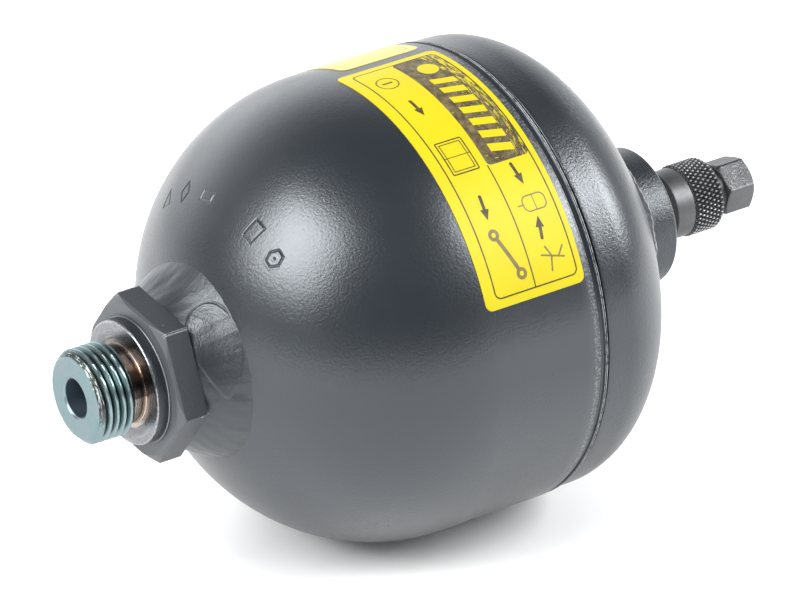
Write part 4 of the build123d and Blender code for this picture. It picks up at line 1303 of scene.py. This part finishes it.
def rubber_finish(name, colour):
    """Moulded rubber: a fine matt grain with faint bloom in patches."""
    f = Finish(name)
    bloom = f.noise(0.06, 4.0, 0.6).between(0.5, 0.75)
    grain = f.noise(2.4, 3.0, 0.6)
    base = f.blend(bloom * 0.5, colour, [c * 2.4 + 0.01 for c in colour])
    rough = 0.56 + (grain - 0.5) * 0.2 + bloom * 0.1
    return f.feed(Base_Color=base, Roughness=rough, Normal=f.bump(grain, 0.02))


def plastic_finish(name, colour):
    """Pressed plastic washer: faintly cloudy and waxy."""
    f = Finish(name)
    cloud = f.noise(0.8, 3.0, 0.6)
    base = f.blend(cloud.between(0.3, 0.7), colour, toned(colour, 0.86))
    return f.feed(Base_Color=base, Roughness=0.42 + (cloud - 0.5) * 0.15, Normal=f.bump(cloud, 0.01))


# ---------------------------------------------------------------- stage
MIDDLE_X = 75.0  # the lights aim at this place on the axis


def build_floor(settings):
    """Pale floor level with the lowest point of the object: a flat grid.

    It glows a little of itself round the object, more in a ring round the shadow, and most far away
    and past the gas end, so that it runs into the white of the backdrop."""
    half_side, count = 6000.0, 9
    steps = np.linspace(-half_side, half_side, count)
    x, y = np.meshgrid(steps, steps, indexing="ij")
    corners = np.stack([x, y, 0 * x + cad_low.z / MM - 0.02], axis=-1).reshape(-1, 3)
    index = np.arange(count**2).reshape(count, count)
    quads = np.stack([index[:-1, :-1], index[1:, :-1], index[1:, 1:], index[:-1, 1:]], axis=-1)
    mesh = bpy.data.meshes.new("studio_floor")
    mesh.from_pydata((corners * MM).tolist(), [], quads.reshape(-1, 4).tolist())
    piece = bpy.data.objects.new("studio_floor", mesh)
    bpy.context.scene.collection.objects.link(piece)
    f = Finish("floor_paper")
    paper = tuple(settings.floor_colour)
    base = f.blend(f.noise(0.004, 3.0, 0.5).between(0.3, 0.7), paper, toned(paper, 0.99))
    x, y, _ = f.axes()
    off = x - MIDDLE_X
    away = (off * off + y * y).math("SQRT")
    ring = away.between(34.0, 80.0) * away.between(190.0, 115.0) * 0.38
    far = away.between(200.0, 380.0).most(x.between(150.0, 400.0)).most(ring)
    glow = f.blend(far, [settings.floor_glow] * 3, [settings.far_glow] * 3)
    dress(piece, f.feed(Base_Color=base, Roughness=0.9, Specular_IOR_Level=0.1, Emission_Color=glow,
                        Emission_Strength=1.0))


def build_sky(settings):
    """World light: a bright backdrop behind the object, brightest on the port side, and a dark room on
    the camera's side. Its share is an ease of the direction's run towards the backdrop, times one of
    its height and a part that fades sideways; a faint second share reaches round to the front."""
    world = bpy.data.worlds.new("studio")
    bpy.context.scene.world = world
    world.use_nodes = True
    tree = world.node_tree
    place = add_node(tree, "ShaderNodeTexCoord").outputs["Generated"]
    parts = add_node(tree, "ShaderNodeSeparateXYZ", None, {0: place}).outputs
    across, along, height = [Value(tree, out) for out in parts]
    behind = across * 0.574 + along * 0.819
    side = across * 0.819 - along * 0.574
    share = behind.between(0.12, 0.78) * height.between(0.88, 0.15)
    share = share * (side.between(0.25, -0.4) * 0.52 + 0.45)
    share = share + behind.between(-0.9, 0.2) * height.between(1.0, 0.2) * 0.10
    room, backdrop = (0.065, 0.070, 0.078), toned((0.97, 0.985, 1.0), settings.backdrop)
    mix = {"data_type": "RGBA", "clamp_factor": False}
    light = add_node(tree, "ShaderNodeMix", mix, {0: share, 6: room, 7: backdrop}).outputs[2]
    tree.links.new(light, tree.nodes["Background"].inputs[0])


def add_softbox(name, towards, distance, size, power):
    """Rectangular white area light at a distance from the shell's middle in the direction towards."""
    lamp = bpy.data.lights.new(name, "AREA")
    lamp.shape = "RECTANGLE"
    lamp.size, lamp.size_y = size
    lamp.energy = power
    holder = bpy.data.objects.new(name, lamp)
    bpy.context.scene.collection.objects.link(holder)
    direction = Vector(towards).normalized()
    holder.location = Vector((MIDDLE_X * MM, 0, 0)) + direction * distance
    holder.rotation_euler = direction.to_track_quat("Z", "Y").to_euler()


def build_camera(settings):
    """Camera that looks down at the object from the port side and the front."""
    lens = bpy.data.cameras.new("camera")
    lens.lens = settings.lens
    lens.sensor_width = 36.0
    lens.clip_start, lens.clip_end = 0.05, 50.0
    camera = bpy.data.objects.new("camera", lens)
    camera.location = (-0.6411, -1.0239, 0.6638)
    camera.rotation_euler = (math.radians(61.96), 0, math.radians(-35.02))
    bpy.context.scene.collection.objects.link(camera)
    bpy.context.scene.camera = camera
    bpy.context.scene.view_settings.view_transform = "Standard"


# ---------------------------------------------------------------- operators
def settings_of(context):
    """The accumulator's sizes and colours in the open scene."""
    return context.scene.accumulator


class AccumulatorSettings(bpy.types.PropertyGroup):
    """All sizes and colours of the accumulator."""

    shell: PointerProperty(type=ShellSizes)
    port: PointerProperty(type=PortSizes)
    cap: PointerProperty(type=CapSizes)
    stage: PointerProperty(type=StageSizes)
    finishes: PointerProperty(type=Finishes)


def stand_for(piece, node, material, rides=True):
    """Puts a new piece in a CAD node's place, riding on the shell."""
    if rides:
        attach(piece, "shell")
    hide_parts(node)
    dress(piece, material)


class ACCUMULATOR_OT_shell(bpy.types.Operator):
    """Build both shell halves and the girth weld"""

    bl_idname = "accumulator.shell"
    bl_label = "Shell Halves and Seam"

    def execute(self, context):
        settings = settings_of(context)
        colours = settings.finishes
        fine = paint_finish("port_side_paint", colours, 0.62, 0.062, 1.0, dressed="port side")
        coarse = paint_finish("gas_side_paint", colours, 0.62, 0.085, 2.0, dressed="gas side")
        stand_for(build_port_half(settings.shell), "fluid_half_shell", fine)
        stand_for(build_gas_half(settings.shell), "gas_half_shell", coarse)
        stand_for(build_girth_bead(settings.shell), "girth_weld", bead_finish(colours))
        return {"FINISHED"}


class ACCUMULATOR_OT_port(bpy.types.Operator):
    """Build the threaded port fitting and its fillet weld"""

    bl_idname = "accumulator.port"
    bl_label = "Port Fitting and Weld"

    def execute(self, context):
        settings = settings_of(context)
        colours = settings.finishes
        stand_for(build_port_fitting(settings.port), "port_fitting", port_finish(colours))
        weld = build_port_weld(settings.port, settings.shell)
        stand_for(weld, "port_weld", weld_finish("port_weld_paint", colours, 1.0, True))
        return {"FINISHED"}


class ACCUMULATOR_OT_gas_end(bpy.types.Operator):
    """Build the boss weld and the knurled cap, and finish the boss"""

    bl_idname = "accumulator.gas_end"
    bl_label = "Boss Weld and Cap"

    def execute(self, context):
        settings = settings_of(context)
        colours = settings.finishes
        weld = build_boss_weld(settings.shell)
        stand_for(weld, "gas_boss_weld", weld_finish("boss_weld_paint", colours, 0.7, False))
        stand_for(build_cap(settings.cap), "protective_cap", cap_finish(colours))
        boss = paint_finish("boss_paint", colours, 0.50, 0.085, 3.0, 0.31, 0.10, "boss")
        dress(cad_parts["gas_boss"], boss)
        return {"FINISHED"}


class ACCUMULATOR_OT_labels(bpy.types.Operator):
    """Print the two labels"""

    bl_idname = "accumulator.labels"
    bl_label = "Labels"

    def execute(self, context):
        settings = settings_of(context)
        rim = settings.shell.outside_radius / MM
        for node, place in LABELS.items():
            main = node == "main_label"
            film = build_label(node + "_film", place, settings.shell)
            printed = label_finish(node + "_print", settings.finishes, place, rim, main)
            stand_for(film, node, printed)
        return {"FINISHED"}


class ACCUMULATOR_OT_inside(bpy.types.Operator):
    """Build the diaphragm and the valve's spring, and finish the other hidden pieces"""

    bl_idname = "accumulator.inside"
    bl_label = "Diaphragm and Valve"

    def execute(self, context):
        colours = settings_of(context).finishes
        rubber = rubber_finish("nitrile_rubber", colours.rubber)
        brass = turned_finish("valve_brass", colours.brass, toned(colours.brass, 0.8), 0.26)
        steel = turned_finish("turned_steel", colours.steel, toned(colours.steel, 0.75), 0.30)
        spring_steel = turned_finish("spring_steel", (0.42, 0.41, 0.40), (0.30, 0.29, 0.28), 0.28)
        gasket = plastic_finish("gasket_plastic", colours.gasket)
        diaphragm = build_diaphragm()
        stand_for(diaphragm, "diaphragm", rubber, rides=False)
        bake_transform(diaphragm)
        spring = build_valve_spring()
        stand_for(spring, "core_spring", spring_steel)
        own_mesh(spring)
        kept = {
            "valve_body": steel, "valve_body_seal": rubber, "core_screw": brass, "core_barrel": brass,
            "core_gasket": gasket, "core_pin": steel, "core_seal": rubber, "cap_gasket": rubber,
            "diaphragm_clamp_ring": steel, "closing_button": steel,
        }
        for node, material in kept.items():
            dress(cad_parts[node], material)
        return {"FINISHED"}


class ACCUMULATOR_OT_stage(bpy.types.Operator):
    """Set up the camera, the lights and the floor"""

    bl_idname = "accumulator.stage"
    bl_label = "Camera, Lights and Floor"

    def execute(self, context):
        settings = settings_of(context).stage
        build_floor(settings)
        build_sky(settings)
        add_softbox("key_softbox", (-0.748, 0.001, 0.662), 1.1, (0.70, 0.70), settings.key_power)
        add_softbox("fill_softbox", (0.660, -0.508, 0.555), 1.2, (0.46, 0.64), settings.fill_power)
        build_camera(settings)
        return {"FINISHED"}


class ACCUMULATOR_PT_panel(bpy.types.Panel):
    """Lists the accumulator's pieces and settings in the 3D view's sidebar"""

    bl_idname = "ACCUMULATOR_PT_panel"
    bl_label = "Welded Accumulator"
    bl_space_type = "VIEW_3D"
    bl_region_type = "UI"
    bl_category = "Accumulator"

    def draw(self, context):
        settings = settings_of(context)
        column = self.layout.column(align=True)
        for operator in OPERATORS:
            column.operator(operator.bl_idname)
        for title, group in (("Shell", settings.shell), ("Port", settings.port), ("Cap", settings.cap),
                             ("Stage", settings.stage), ("Colours", settings.finishes)):
            box = self.layout.box()
            box.label(text=title)
            for name in group.bl_rna.properties.keys():
                if name not in ("rna_type", "name"):
                    box.prop(group, name)


SETTINGS = (ShellSizes, PortSizes, CapSizes, StageSizes, Finishes, AccumulatorSettings)
OPERATORS = (ACCUMULATOR_OT_stage, ACCUMULATOR_OT_shell, ACCUMULATOR_OT_port, ACCUMULATOR_OT_gas_end,
             ACCUMULATOR_OT_labels, ACCUMULATOR_OT_inside)
CLASSES = SETTINGS + OPERATORS + (ACCUMULATOR_PT_panel,)


def register():
    """Makes the classes known and gives the scene its settings."""
    for entry in CLASSES:
        bpy.utils.register_class(entry)
    bpy.types.Scene.accumulator = PointerProperty(type=AccumulatorSettings)


def unregister():
    """Takes back what register did."""
    del bpy.types.Scene.accumulator
    for entry in reversed(CLASSES):
        bpy.utils.unregister_class(entry)


def main():
    """Registers the add-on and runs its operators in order."""
    register()
    for operator in OPERATORS:
        group, name = operator.bl_idname.split(".")
        getattr(getattr(bpy.ops, group), name)()
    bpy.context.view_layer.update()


if __name__ == "__main__":
    main()
